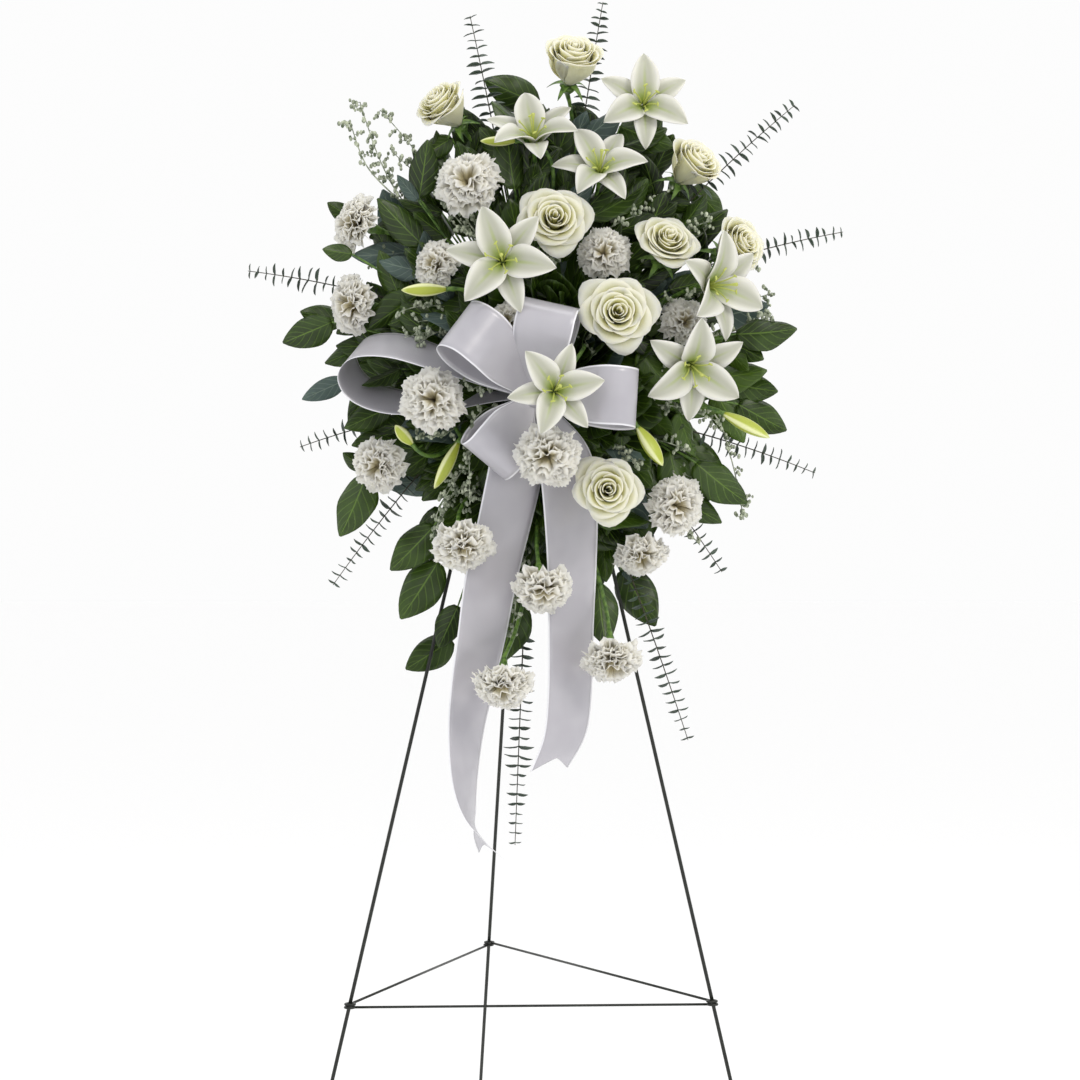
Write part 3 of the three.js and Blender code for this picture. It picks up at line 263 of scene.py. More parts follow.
LOOP_STEPS = 60
LOOP_STATIONS = 10

# Short strings of seeds between the flowers: pixel of the root, pixel of the tip, out
SHORT_STRINGS = [
    ((520, 400), (462, 372), 128), ((520, 405), (470, 392), 132), ((515, 410), (474, 420), 134),
    ((520, 380), (500, 366), 136), ((600, 300), (650, 300), 98), ((640, 330), (690, 300), 92),
    ((470, 300), (400, 312), 92), ((470, 320), (416, 346), 90), ((600, 440), (640, 470), 110),
    ((600, 420), (690, 410), 84), ((470, 470), (440, 500), 96), ((520, 250), (560, 262), 100),
    ((560, 250), (640, 215), 80), ((590, 300), (712, 220), 60), ((500, 250), (455, 225), 96),
    ((500, 345), (418, 322), 84), ((500, 345), (404, 338), 80), ((500, 385), (478, 376), 104),
    ((505, 400), (497, 372), 100), ((490, 440), (436, 516), 84), ((495, 450), (430, 540), 70),
    ((495, 470), (462, 512), 74), ((520, 490), (500, 612), 66), ((530, 490), (512, 640), 60),
    ((600, 380), (700, 384), 70), ((600, 400), (722, 424), 60), ((590, 440), (690, 452), 74),
    ((600, 450), (742, 505), 40), ((590, 460), (700, 545), 40), ((560, 330), (590, 350), 104),
    ((600, 330), (676, 330), 60), ((520, 300), (436, 172), 40), ((520, 300), (392, 152), 20),
    ((520, 300), (380, 110), 12), ((560, 290), (664, 196), 40), ((590, 330), (756, 262), 30),
]

GOLDEN_ANGLE = math.radians(137.5)
GOLDEN_SHARE = 0.618


# Places and directions


def seen(pixel, out):
    """The place seen at a pixel of the front view, out millimetres in front of the spray's plane."""
    scale = MM_PER_PIXEL * (VIEW_DISTANCE - out) / VIEW_DISTANCE
    return Vector((
        (pixel[0] - VIEW_MIDDLE) * scale + TO_MIDDLE[0],
        -out + TO_MIDDLE[1],
        VIEW_HEIGHT + (VIEW_MIDDLE - pixel[1]) * scale,
    )) * MM


def moved(x, y, z):
    """A place given in millimetres before the whole is moved to the middle, in metres."""
    return Vector((x + TO_MIDDLE[0], y + TO_MIDDLE[1], z)) * MM


def heading(turn, lift):
    """A direction: 0, 0 looks at the viewer, turn goes to the right and lift goes up."""
    aside, up = math.radians(turn), math.radians(lift)
    level = math.cos(up)
    return Vector((math.sin(aside) * level, -math.cos(aside) * level, math.sin(up)))


def stand(place, way, facing):
    """The matrix that puts local +Z along a way, with local +Y as near to facing as it can be."""
    z = way.normalized()
    x = facing.cross(z).normalized()
    y = z.cross(x)
    matrix = Matrix((x, y, z)).transposed().to_4x4()
    matrix.translation = place
    return matrix


def smooth_curve(points, t):
    """A place on the smooth curve through points, t from 0 to 1."""
    spans = len(points) - 1
    s = min(max(t, 0.0), 1.0) * spans
    i = min(int(s), spans - 1)
    f = s - i
    a, b, c, d = (points[min(max(k, 0), spans)] for k in (i - 1, i, i + 1, i + 2))
    return 0.5 * (
        2 * b + (c - a) * f + (2 * a - 5 * b + 4 * c - d) * f * f
        + (3 * b - a - 3 * c + d) * f ** 3
    )


def bent(a, b, c, t):
    """A place on the curve from a to c that is drawn towards b."""
    return a * (1 - t) ** 2 + b * (2 * t * (1 - t)) + c * t * t


def bent_line(a, b, c, steps):
    """Places along such a curve, at even steps."""
    return [bent(a, b, c, i / steps) for i in range(steps + 1)]


def scattered(draw, reach=1):
    """A vector whose three parts are drawn between -reach and reach."""
    return Vector([draw.uniform(-reach, reach) for _ in range(3)])


def length_of(line):
    """The length of a line of places."""
    return sum((b - a).length for a, b in zip(line, line[1:]))


# Mesh work


def join_part(bm, part):
    """Puts a finished small mesh into a larger one, far quicker than working in the larger one."""
    mesh = bpy.data.meshes.new("part")
    part.to_mesh(mesh)
    part.free()
    bm.from_mesh(mesh)
    bpy.data.meshes.remove(mesh)


def placed_grid(across, along, place, **written):
    """A new mesh of one grid, its vertices at place(u, v), u along it and v across it, 0 to 1.
    Its UV map has v across and u up. Other numbers are written on its vertices by name."""
    part = bmesh.new()
    bmesh.ops.create_grid(part, x_segments=across, y_segments=along, size=1)
    layer = part.loops.layers.uv.verify()
    for face in part.faces:
        for loop in face.loops:
            loop[layer].uv = (loop.vert.co.x / 2 + 0.5, loop.vert.co.y / 2 + 0.5)
    for name, value in written.items():
        layer = part.verts.layers.float.new(name)
        for vert in part.verts:
            vert[layer] = value
    for vert in part.verts:
        vert.co = place(vert.co.y / 2 + 0.5, vert.co.x / 2 + 0.5)
    return part


def add_grid(bm, across, along, place, **written):
    """Adds such a grid to a mesh."""
    join_part(bm, placed_grid(across, along, place, **written))


def close_up(part):
    """Merges the seam of a grid that was rolled up, and closes its two ends."""
    bmesh.ops.remove_doubles(part, verts=part.verts, dist=1e-7)
    bmesh.ops.holes_fill(part, edges=[edge for edge in part.edges if edge.is_boundary], sides=0)


def frames_along(line):
    """A side and a front direction at each point of a line, that turn as little as they can."""
    found = []
    side = None
    for i, at in enumerate(line):
        way = (line[min(i + 1, len(line) - 1)] - line[max(i - 1, 0)]).normalized()
        if side is None:
            side = way.orthogonal().normalized()
        side = (side - way * side.dot(way)).normalized()
        found.append((side, way.cross(side)))
    return found


def add_tube(bm, line, radii, sides):
    """Adds a closed tube along a line of points, with a radius in millimetres for each."""
    frames = frames_along(line)
    last = len(line) - 1

    def place(u, v):
        i = round(u * last)
        side, front = frames[i]
        angle = 2 * math.pi * v
        return line[i] + (side * math.cos(angle) + front * math.sin(angle)) * (radii[i] * MM)

    part = placed_grid(sides, last, place)
    close_up(part)
    join_part(bm, part)


def new_piece(name, bm, material, replaced, thickness=0.0):
    """Makes the object of a finished mesh, and says what it rides on and what it stands for."""
    bmesh.ops.recalc_face_normals(bm, faces=bm.faces)
    mesh = bpy.data.meshes.new(name)
    bm.to_mesh(mesh)
    bm.free()
    mesh.polygons.foreach_set("use_smooth", [True] * len(mesh.polygons))
    mesh.materials.append(material)
    piece = bpy.data.objects.new(name, mesh)
    bpy.context.scene.collection.objects.link(piece)
    if thickness:
        solid = piece.modifiers.new("Thickness", "SOLIDIFY")
        solid.thickness = thickness * MM
        solid.offset = 0
    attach(piece, "root")
    if replaced:
        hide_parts(*replaced)
    return piece


# Materials

# Colours that aren't settings
# Painted shade down the hollowed middle of a lily's tepals
LILY_PAINTED_SHADE = "#b0b1a3"
STAMEN, STAMEN_LIGHT = "#a5ac48", "#c3cc74"
BUD_RIDGE = "#e6e9b4"
SALAL_VEIN = "#5a7628"
SILVER_LIGHT, SILVER_VEIN = "#566862", "#6f7f73"
EUCALYPTUS, EUCALYPTUS_LIGHT, EUCALYPTUS_VEIN = "#27332a", "#46564a", "#5f6d5c"
STEM, STEM_LIGHT = "#35521f", "#6a8a3c"
BARK, BARK_LIGHT = "#2e2a22", "#4d4a3a"
SEED, SEED_LIGHT = "#4f5c44", "#c0c7b0"
PICK, PICK_LIGHT = "#3c4a26", "#5d6b3b"
SATIN_SHADE, SATIN_EDGE = "#8f8d96", "#eeeef3"
ENAMEL_LIGHT = "#1d221a"
# Painted shade in the pits of the foam's pores
FOAM_PAINTED_PORE_SHADE = "#2f5230"
TRAY_FLOW = "#2c5636"

THREAD_SPACING = 0.6
# Waves of a vein between a petal's root and its rim
VEIN_WAVES = 2.5
SMOOTH = {"interpolation_type": "SMOOTHSTEP"}
COLOURS = {"data_type": "RGBA"}


def linear(code):
    """The linear colour of an sRGB hex code."""
    parts = [int(code[i:i + 2], 16) / 255 for i in (1, 3, 5)]
    return [x / 12.92 if x <= 0.04045 else ((x + 0.055) / 1.055) ** 2.4 for x in parts]


def rgba(colour):
    """A colour for a socket, from a hex code or from three linear numbers."""
    return (*linear(colour), 1.0) if isinstance(colour, str) else (*colour, 1.0)


def add_node(tree, kind, inputs=(), **settings):
    """Adds a node, sets its properties, and sets or links its inputs, given in order or by name.
    Gives back its outputs."""
    made = tree.nodes.new("ShaderNode" + kind)
    for key, value in settings.items():
        setattr(made, key, value)
    for key, value in inputs.items() if isinstance(inputs, dict) else enumerate(inputs):
        if isinstance(value, bpy.types.NodeSocket):
            tree.links.new(value, made.inputs[key])
        else:
            made.inputs[key].default_value = value
    return made.outputs


def start_material(name):
    """A new material, the call that adds a node to it, and the coordinates that it can read."""
    material = bpy.data.materials.new(name)
    material.use_nodes = True
    material.node_tree.nodes.clear()
    add = partial(add_node, material.node_tree)
    return material, add, add("TexCoord")


def finish_material(material, add, constants, tone, relief=None):
    """Gives a material its shader, with a colour and a relief. A relief is a height from 0 to 1,
    its depth in millimetres and its strength."""
    inputs = {"Base Color": tone, **constants}
    if relief:
        height, depth, strength = relief
        bump = add("Bump", {"Height": height, "Distance": depth * MM, "Strength": strength})
        inputs["Normal"] = bump[0]
    add("OutputMaterial", {"Surface": add("BsdfPrincipled", inputs)[0]})
    return material


def speckle(places, millimetres, detail=2.0):
    """The inputs of even noise whose features are about so many millimetres across."""
    return {"Vector": places["Object"], "Scale": 1000 / millimetres, "Detail": detail}


def petal_veins(add, places, count):
    """Fine lines that run from a petal's root to its rim."""
    stretched = add("Mapping", {"Vector": places["UV"], "Scale": (count, VEIN_WAVES, 1)})[0]
    return add("TexNoise", {"Vector": stretched, "Scale": 1.0, "Detail": 2.0})[0]


def from_midrib(add, across):
    """How far a point is from the middle line: 0 there, and 0.5 at an edge."""
    offset = add("Math", (across, 0.5), operation="SUBTRACT")[0]
    return add("Math", (offset,), operation="ABSOLUTE")[0]


def rose_petal_velvet(heart, rim):
    """Rose petal: soft cells that scatter light, so it looks matt and lit from within.
    The heart's folds are yellow-green and the outer petals ivory, and the heart colour also stands
    for painted shade low on each petal and deep in the folds."""
    material, add, places = start_material("rose petal, velvety")
    up = add("SeparateXYZ", (places["UV"],))[1]
    depth = add("Attribute", attribute_name="depth")["Fac"]
    veins = petal_veins(add, places, 40)
    folded = add("MapRange", (depth, -0.2, 0.9, 0.5, 1.0), **SMOOTH)[0]
    root = add("MapRange", (up, 1.0, 0.78), **SMOOTH)[0]
    streaks = add("MapRange", (veins, 0.2, 0.8, 0.8, 1.0), **SMOOTH)[0]
    # Painted shade on top of the heart's real green: the heart colour goes low on each petal and most
    # on the inner petals, deep in the folds
    green = add("Math", (root, folded), operation="MULTIPLY")[0]
    green = add("Math", (green, streaks), operation="MULTIPLY")[0]
    tone = add("Mix", {0: green, 6: rgba(rim), 7: rgba(heart)}, **COLOURS)[2]
    return finish_material(material, add, {
        "Roughness": 0.62, "Specular IOR Level": 0.3, "Sheen Weight": 0.15,
        "Subsurface Weight": 0.6, "Subsurface Radius": (0.9, 0.8, 0.5), "Subsurface Scale": 0.006,
    }, tone, (veins, 0.25, 0.5))


def carnation_petal_matt(colour, shade):
    """Carnation petal: thin, dry and crinkled, so it is matt, with warm grey painted shade low
    between its frills.
    """
    material, add, places = start_material("carnation petal, matt")
    up = add("SeparateXYZ", (places["UV"],))[1]
    veins = petal_veins(add, places, 60)
    # Painted shade: the lower part of each petal, between the frills, takes the shade colour
    root = add("MapRange", (up, 1.0, 0.5), **SMOOTH)[0]
    streaks = add("MapRange", (veins, 0.1, 0.7, 0.8, 1.0), **SMOOTH)[0]
    low = add("Math", (root, streaks), operation="MULTIPLY")[0]
    tone = add("Mix", {0: low, 6: rgba(colour), 7: rgba(shade)}, **COLOURS)[2]
    return finish_material(material, add, {
        "Roughness": 0.75, "Specular IOR Level": 0.25, "Sheen Weight": 0.2,
        "Subsurface Weight": 0.6, "Subsurface Radius": (0.9, 0.85, 0.7), "Subsurface Scale": 0.006,
    }, tone, (veins, 0.3, 0.6))


def lily_tepal_waxy(colour, throat):
    """Lily tepal: thick and waxy with a satin gloss, a grooved midrib, a green-yellow throat, and
    grey painted shade down its hollowed middle, which leaves its edges lighter.
    """
    material, add, places = start_material("lily tepal, waxy")
    across, up = add("SeparateXYZ", (places["UV"],))[:2]
    aside = from_midrib(add, across)
    line = add("MapRange", (aside, 0.1, 0.0), **SMOOTH)[0]
    fading = add("MapRange", (up, 0.9, 0.3), **SMOOTH)[0]
    midrib = add("Math", (line, fading), operation="MULTIPLY")[0]
    root = add("MapRange", (up, 0.5, 0.08), **SMOOTH)[0]
    middle = add("MapRange", (aside, 0.5, 0.1), **SMOOTH)[0]
    heart = add("Math", (root, middle), operation="MULTIPLY")[0]
    pale = add("Math", (midrib, 0.6), operation="MULTIPLY")[0]
    green = add("Math", (pale, heart), operation="MAXIMUM")[0]
    # Painted shade: grey down the middle of the tepal, where it is hollowed, and the tepal's own
    # colour at its edges
    hollow = add("MapRange", (aside, 0.5, 0.15), **SMOOTH)[0]
    body = add("Mix", {0: hollow, 6: rgba(colour), 7: rgba(LILY_PAINTED_SHADE)}, **COLOURS)[2]
    tone = add("Mix", {0: green, 6: body, 7: rgba(throat)}, **COLOURS)[2]
    ribs = add("Math", (petal_veins(add, places, 26), 0.3), operation="MULTIPLY")[0]
    height = add("Math", (ribs, midrib), operation="SUBTRACT")[0]
    return finish_material(material, add, {
        "Roughness": 0.45, "Specular IOR Level": 0.4, "Coat Weight": 0.1, "Coat Roughness": 0.4,
        "Subsurface Weight": 0.25, "Subsurface Radius": (0.7, 0.7, 0.5), "Subsurface Scale": 0.004,
    }, tone, (height, 0.6, 0.6))


def lily_bud_waxy(colour):
    """Lily bud: unopened tepals, waxy yellow-green, paler along the ridges where they meet."""
    material, add, places = start_material("lily bud, waxy")
    across, up = add("SeparateXYZ", (places["UV"],))[:2]
    turn = add("Math", (across, 6 * math.pi), operation="MULTIPLY")[0]
    ridges = add("Math", (turn,), operation="COSINE")[0]
    pale = add("MapRange", (ridges, 0.0, 1.0, 0.0, 0.9), **SMOOTH)[0]
    tip = add("MapRange", (up, 0.85, 1.0, 0.0, 0.6), **SMOOTH)[0]
    light = add("Math", (pale, tip), operation="MAXIMUM")[0]
    tone = add("Mix", {0: light, 6: rgba(colour), 7: rgba(BUD_RIDGE)}, **COLOURS)[2]
    skin = add("TexNoise", speckle(places, 4))[0]
    return finish_material(material, add, {
        "Roughness": 0.4, "Specular IOR Level": 0.45, "Coat Weight": 0.15,
    }, tone, (skin, 0.3, 0.4))


def stamen_dusty():
    """Stamens and pistils: smooth pale green threads with dusty, powdery ends."""
    material, add, places = start_material("stamen, dusty")
    grain = add("TexNoise", speckle(places, 0.8))[0]
    tone = add("Mix", {0: grain, 6: rgba(STAMEN_LIGHT), 7: rgba(STAMEN)}, **COLOURS)[2]
    return finish_material(material, add, {"Roughness": 0.7}, tone, (grain, 0.2, 0.5))


def leaf_glossy(name, dark, light, vein, roughness, pairs):
    """Leathery leaf: a thick clear skin over green cells, so it shines and its veins show pale."""
    material, add, places = start_material(name)
    across, up = add("SeparateXYZ", (places["UV"],))[:2]
    aside = from_midrib(add, across)
    slant = add("Math", (aside, 0.7), operation="MULTIPLY")[0]
    slanted = add("Math", (up, slant), operation="SUBTRACT")[0]
    turn = add("Math", (slanted, 2 * math.pi * pairs), operation="MULTIPLY")[0]
    wave = add("Math", (turn,), operation="SINE")[0]
    crests = add("MapRange", (wave, 0.8, 1.0), **SMOOTH)[0]
    side_veins = add("Math", (crests, 0.45), operation="MULTIPLY")[0]
    midrib = add("MapRange", (aside, 0.035, 0.0), **SMOOTH)[0]
    veins = add("Math", (side_veins, midrib), operation="MAXIMUM")[0]
    cloud = add("TexNoise", speckle(places, 45))[0]
    patches = add("MapRange", (cloud, 0.35, 0.7, 0.0, 0.45), **SMOOTH)[0]
    age = add("Attribute", attribute_name="age")["Fac"]
    aged = add("Math", (age, 0.55), operation="MULTIPLY")[0]
    share = add("Math", (patches, aged), operation="ADD")[0]
    green = add("Mix", {0: share, 6: rgba(dark), 7: rgba(light)}, **COLOURS)[2]
    young = add("MapRange", (age, 0.75, 1.0, 0.0, 0.3), **SMOOTH)[0]
    green = add("Mix", {0: young, 6: green, 7: rgba(vein)}, **COLOURS)[2]
    tone = add("Mix", {0: veins, 6: green, 7: rgba(vein)}, **COLOURS)[2]
    skin = add("TexNoise", speckle(places, 3))[0]
    grain = add("Math", (skin, 0.3), operation="MULTIPLY")[0]
    height = add("Math", (grain, veins), operation="SUBTRACT")[0]
    return finish_material(material, add, {
        "Roughness": roughness, "Specular IOR Level": 0.35, "Coat Weight": 0.1,
        "Coat Roughness": 0.25, "Subsurface Weight": 0.08, "Subsurface Radius": (0.3, 0.5, 0.1),
        "Subsurface Scale": 0.002,
    }, tone, (height, 0.5, 0.6))


def stem_streaked(name, dark, light, roughness):
    """Cut flower stem or twig: smooth green to brown bark, blotched and finely grained."""
    material, add, places = start_material(name)
    blotches = add("TexNoise", speckle(places, 6, 4))[0]
    share = add("MapRange", (blotches, 0.3, 0.7), **SMOOTH)[0]
    tone = add("Mix", {0: share, 6: rgba(dark), 7: rgba(light)}, **COLOURS)[2]
    grain = add("TexNoise", speckle(places, 1.5))[0]
    constants = {"Roughness": roughness, "Specular IOR Level": 0.4}
    return finish_material(material, add, constants, tone, (grain, 0.2, 0.5))


def satin_woven(face):
    """Polyester satin: long floating threads along the ribbon give one broad soft highlight across
    it. Both edges are woven tighter and are whiter. The threads, really 0.1 mm apart, are drawn
    0.6 mm apart so that they show."""
    material, add, places = start_material("white polyester satin, woven")
    across = add("SeparateXYZ", (places["UV"],))[0]
    woven_edge = add("MapRange", (from_midrib(add, across), 0.46, 0.485), **SMOOTH)[0]
    cloud = add("TexNoise", speckle(places, 60))[0]
    share = add("MapRange", (cloud, 0.35, 0.7, 0.0, 0.35), **SMOOTH)[0]
    body = add("Mix", {0: share, 6: rgba(face), 7: rgba(SATIN_SHADE)}, **COLOURS)[2]
    tone = add("Mix", {0: woven_edge, 6: body, 7: rgba(SATIN_EDGE)}, **COLOURS)[2]
    turns = 2 * math.pi * RIBBON_WIDTH / THREAD_SPACING
    turn = add("Math", (across, turns), operation="MULTIPLY")[0]
    threads = add("Math", (turn,), operation="SINE")[0]
    low = add("Math", (threads, 0.12), operation="MULTIPLY")[0]
    height = add("Math", (low, woven_edge), operation="ADD")[0]
    return finish_material(material, add, {
        "Roughness": 0.27, "Specular IOR Level": 0.8, "Sheen Weight": 0.1,
        "Anisotropic": 0.5, "Coat Weight": 0.2, "Coat Roughness": 0.25,
    }, tone, (height, 0.12, 0.6))


def wire_enamelled(colour):
    """Steel wire, drawn and dipped in dark green enamel: a thin gloss that pools a little."""
    material, add, places = start_material("steel wire, enamelled")
    pools = add("TexNoise", speckle(places, 9, 3))[0]
    share = add("MapRange", (pools, 0.3, 0.8), **SMOOTH)[0]
    tone = add("Mix", {0: share, 6: rgba(colour), 7: rgba(ENAMEL_LIGHT)}, **COLOURS)[2]
    return finish_material(material, add, {
        "Roughness": 0.4, "Specular IOR Level": 0.35, "Coat Weight": 0.15, "Coat Roughness": 0.2,
    }, tone, (pools, 0.25, 0.4))


def foam_open_cell(colour):
    """Phenolic foam, open-celled and cut with a knife: no gloss, and pores of about 1 mm, drawn twice
    as coarse so that they show, with painted shade darkening their pits."""
    material, add, places = start_material("phenolic foam, open-celled")
    pores = add("TexNoise", speckle(places, 2.2, 5))[0]
    # Painted shade: the pits of the pores, low in the relief, take the darker colour
    share = add("MapRange", (pores, 0.35, 0.65), **SMOOTH)[0]
    tone = add("Mix", {0: share, 6: rgba(FOAM_PAINTED_PORE_SHADE), 7: rgba(colour)}, **COLOURS)[2]
    constants = {"Roughness": 0.95, "Specular IOR Level": 0.15}
    return finish_material(material, add, constants, tone, (pores, 0.8, 0.8))


def tray_moulded(colour):
    """Polypropylene, injection moulded: waxy satin gloss with a faint flow texture."""
    material, add, places = start_material("polypropylene, moulded")
    flow = add("TexNoise", speckle(places, 25))[0]
    share = add("MapRange", (flow, 0.3, 0.7, 0.0, 0.4), **SMOOTH)[0]
    tone = add("Mix", {0: share, 6: rgba(colour), 7: rgba(TRAY_FLOW)}, **COLOURS)[2]
    skin = add("TexNoise", speckle(places, 1.2))[0]
    constants = {"Roughness": 0.42, "Specular IOR Level": 0.45}
    return finish_material(material, add, constants, tone, (skin, 0.1, 0.5))


def floor_painted(colour):
    """Studio floor, rolled with paint: even and matt, without a highlight."""
    material, add, _ = start_material("studio floor, painted")
    constants = {"Roughness": 0.9, "Specular IOR Level": 0.1}
    return finish_material(material, add, constants, rgba(colour))


# Settings


def colour_setting(name, code, description):
    """A colour that the user can change, its default an sRGB hex code."""
    return FloatVectorProperty(
        name=name, description=description, default=linear(code), min=0, max=1, subtype="COLOR")


class FlowerSettings(bpy.types.PropertyGroup):
    """Colours and petal counts of the flowers."""

    # Rose heart: the real green-yellow of the folds, darkened to stand for painted shade
    rose_heart_and_painted_shade: colour_setting("Rose heart", "#bdb966", "Colour of the folds in a rose's heart")
    rose_rim: colour_setting("Rose rim", "#e8e4cb", "Colour of a rose's outer petals")
    rose_petals: IntProperty(
        name="Rose petals", description="Petals in one rose", default=25, min=8, max=60)
    carnation: colour_setting("Carnation", "#e5e2d6", "Colour of a carnation's frills")
    # Painted shade: a warm grey that stands for the shade low between a carnation's frills
    carnation_painted_shade: colour_setting(
        "Carnation shade", "#b3a67a", "Colour low between a carnation's frills")
    carnation_petals: IntProperty(
        name="Carnation petals", description="Petals in one carnation", default=36, min=12, max=90)
    lily: colour_setting("Lily", "#dbdad3", "Colour of a lily's tepals")
    lily_throat: colour_setting("Lily throat", "#9aad4e", "Colour of a lily's throat and midribs")
    bud: colour_setting("Lily bud", "#a7b23e", "Colour of the unopened lilies")


class GreenSettings(bpy.types.PropertyGroup):
    """Colours and counts of the leaves and stems."""

    salal_dark: colour_setting("Salal, dark", "#172409", "Darker green of the large leaves")
    salal_light: colour_setting("Salal, light", "#3d5715", "Lighter green of the large leaves")
    silver: colour_setting("Silver leaf", "#3b4b46", "Colour of the round grey-blue leaves")
    fill_leaves: IntProperty(
        name="Fill leaves", description="Short leaves tried over the foam",
        default=330, min=0, max=800)
    spread_leaves: IntProperty(
        name="Spread leaves", description="Leaves tried between the flowers",
        default=300, min=0, max=600)
    stem_radius: FloatProperty(
        name="Stem radius", description="Radius of a flower stem",
        default=2.4 * MM, min=0.5 * MM, max=6 * MM, unit="LENGTH", precision=4)


class SupportSettings(bpy.types.PropertyGroup):
    """Colours of the ribbon, the easel, the foam and the floor."""

    satin: colour_setting("Satin", "#b1afb6", "Colour of the ribbon")
    enamel: colour_setting("Enamel", "#10130e", "Colour of the easel's wire")
    foam: colour_setting("Foam", "#4d7a4a", "Colour of the floral foam")
    tray: colour_setting("Tray", "#21452a", "Colour of the plastic tray")
    floor: colour_setting("Floor", "#ffffff", "Colour of the studio floor")


class SpraySettings(bpy.types.PropertyGroup):
    """All the settings of the spray."""

    flowers: PointerProperty(type=FlowerSettings)
    greens: PointerProperty(type=GreenSettings)
    support: PointerProperty(type=SupportSettings)


# Easel, foam and tray


def on_line(start, end, height):
    """The place on the line from start to end, three numbers each, at a height."""
    t = (height - start[2]) / (end[2] - start[2])
    return Vector(start).lerp(Vector(end), t)


def add_ring(bm, centre, way, radius, thickness, sides=40):
    """A wire ring round a way, made by spinning a circle."""
    matrix = stand(centre, way, Vector((0, 1, 0.01)))
    start = Matrix.Translation((radius, 0, 0)) @ Matrix.Rotation(math.pi / 2, 4, "X")
    circle = bmesh.ops.create_circle(bm, segments=10, radius=thickness, matrix=matrix @ start)
    edges = {edge for vert in circle["verts"] for edge in vert.link_edges}
    bmesh.ops.spin(
        bm, geom=list(edges) + circle["verts"], cent=centre, axis=matrix.col[2].xyz,
        angle=2 * math.pi, steps=sides, use_merge=True,
    )


def cut_at_floor(bm):
    """Cuts a mesh off level with the floor and closes it."""
    whole = bm.verts[:] + bm.edges[:] + bm.faces[:]
    bmesh.ops.bisect_plane(
        bm, geom=whole, plane_co=(0, 0, 0), plane_no=(0, 0, -1), clear_outer=True)
    bmesh.ops.holes_fill(bm, edges=[edge for edge in bm.edges if edge.is_boundary], sides=0)


class SPRAY_OT_easel(bpy.types.Operator):
    """Three wire legs, hooked together at the top, and the three braces that tie them"""

    bl_idname = "spray.easel"
    bl_label = "Wire easel"

    def execute(self, context):
        enamel = wire_enamelled(context.scene.spray.support.enamel)
        lean = math.atan2(APEX[1] - LEFT_FOOT[1], APEX[2])
        up = Vector((0, math.sin(lean), math.cos(lean)))
        outward = Vector((0, -math.cos(lean), math.sin(lean)))
        tops = {}
        for name, foot, side in (("leg_left", LEFT_FOOT, -1), ("leg_right", RIGHT_FOOT, 1)):
            top = Vector(APEX) + Vector((side * HALF_APART, 0, 0))
            tops[name] = top
            low = Vector(foot) + (Vector(foot) - top).normalized() * PAST_FLOOR
            below = top - (top - low).normalized() * BEND_BELOW
            line = [low, below, top + up * BEND_ABOVE, top + up * NECK]
            bm = bmesh.new()
            add_tube(bm, [moved(*p) for p in line], [LEG_RADIUS] * 4, 12)
            cut_at_floor(bm)
            new_piece(name + "_wire", bm, enamel, [name])
        eye = Vector(APEX) + up * EYE_HEIGHT
        back_top = eye - outward * EYE_RADIUS
        low = Vector(BACK_FOOT) + (Vector(BACK_FOOT) - back_top).normalized() * PAST_FLOOR
        bm = bmesh.new()
        add_tube(bm, [moved(*low), moved(*back_top)], [LEG_RADIUS] * 2, 12)
        add_ring(bm, moved(*eye), up, EYE_RADIUS * MM, LEG_RADIUS * MM)
        cut_at_floor(bm)
        new_piece("leg_back_wire", bm, enamel, ["leg_back"])

        legs = {
            "left": (LEFT_FOOT, tops["leg_left"]),
            "right": (RIGHT_FOOT, tops["leg_right"]),
            "back": (BACK_FOOT, back_top),
        }
        stack = 2 * BRACE_RADIUS + RING_GAP
        braces = (
            ("crossbar", ("left", BRACE_HEIGHT), ("right", BRACE_HEIGHT + stack)),
            ("brace_left", ("left", BRACE_HEIGHT + stack), ("back", BACK_BRACE_HEIGHT)),
            (
                "brace_right", ("right", BRACE_HEIGHT + 2 * stack),
                ("back", BACK_BRACE_HEIGHT + stack),
            ),
        )
        for name, (a, high_a), (b, high_b) in braces:
            start, end = on_line(*legs[a], high_a), on_line(*legs[b], high_b)
            way = (end - start).normalized()
            start, end = start + way * RING_SHIFT, end - way * RING_SHIFT
            bm = bmesh.new()
            run = [start + way * RING_RADIUS, end - way * RING_RADIUS]
            add_tube(bm, [moved(*p) for p in run], [BRACE_RADIUS] * 2, 10)
            for centre in (start, end):
                ring = (RING_RADIUS * MM, BRACE_RADIUS * MM, 28)
                add_ring(bm, moved(*centre), Vector((0, 0, 1)), *ring)
            new_piece(name + "_wire", bm, enamel, [name])
        return {"FINISHED"}


class SPRAY_OT_foam(bpy.types.Operator):
    """The foam brick and its moulded tray, which keep their own solids"""

    bl_idname = "spray.foam"
    bl_label = "Foam and tray"

    def execute(self, context):
        support = context.scene.spray.support
        for name, material in (
            ("foam_brick", foam_open_cell(support.foam)),
            ("foam_tray", tray_moulded(support.tray)),
        ):
            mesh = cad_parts[name].data
            mesh.materials.clear()
            mesh.materials.append(material)
        return {"FINISHED"}


# Flowers


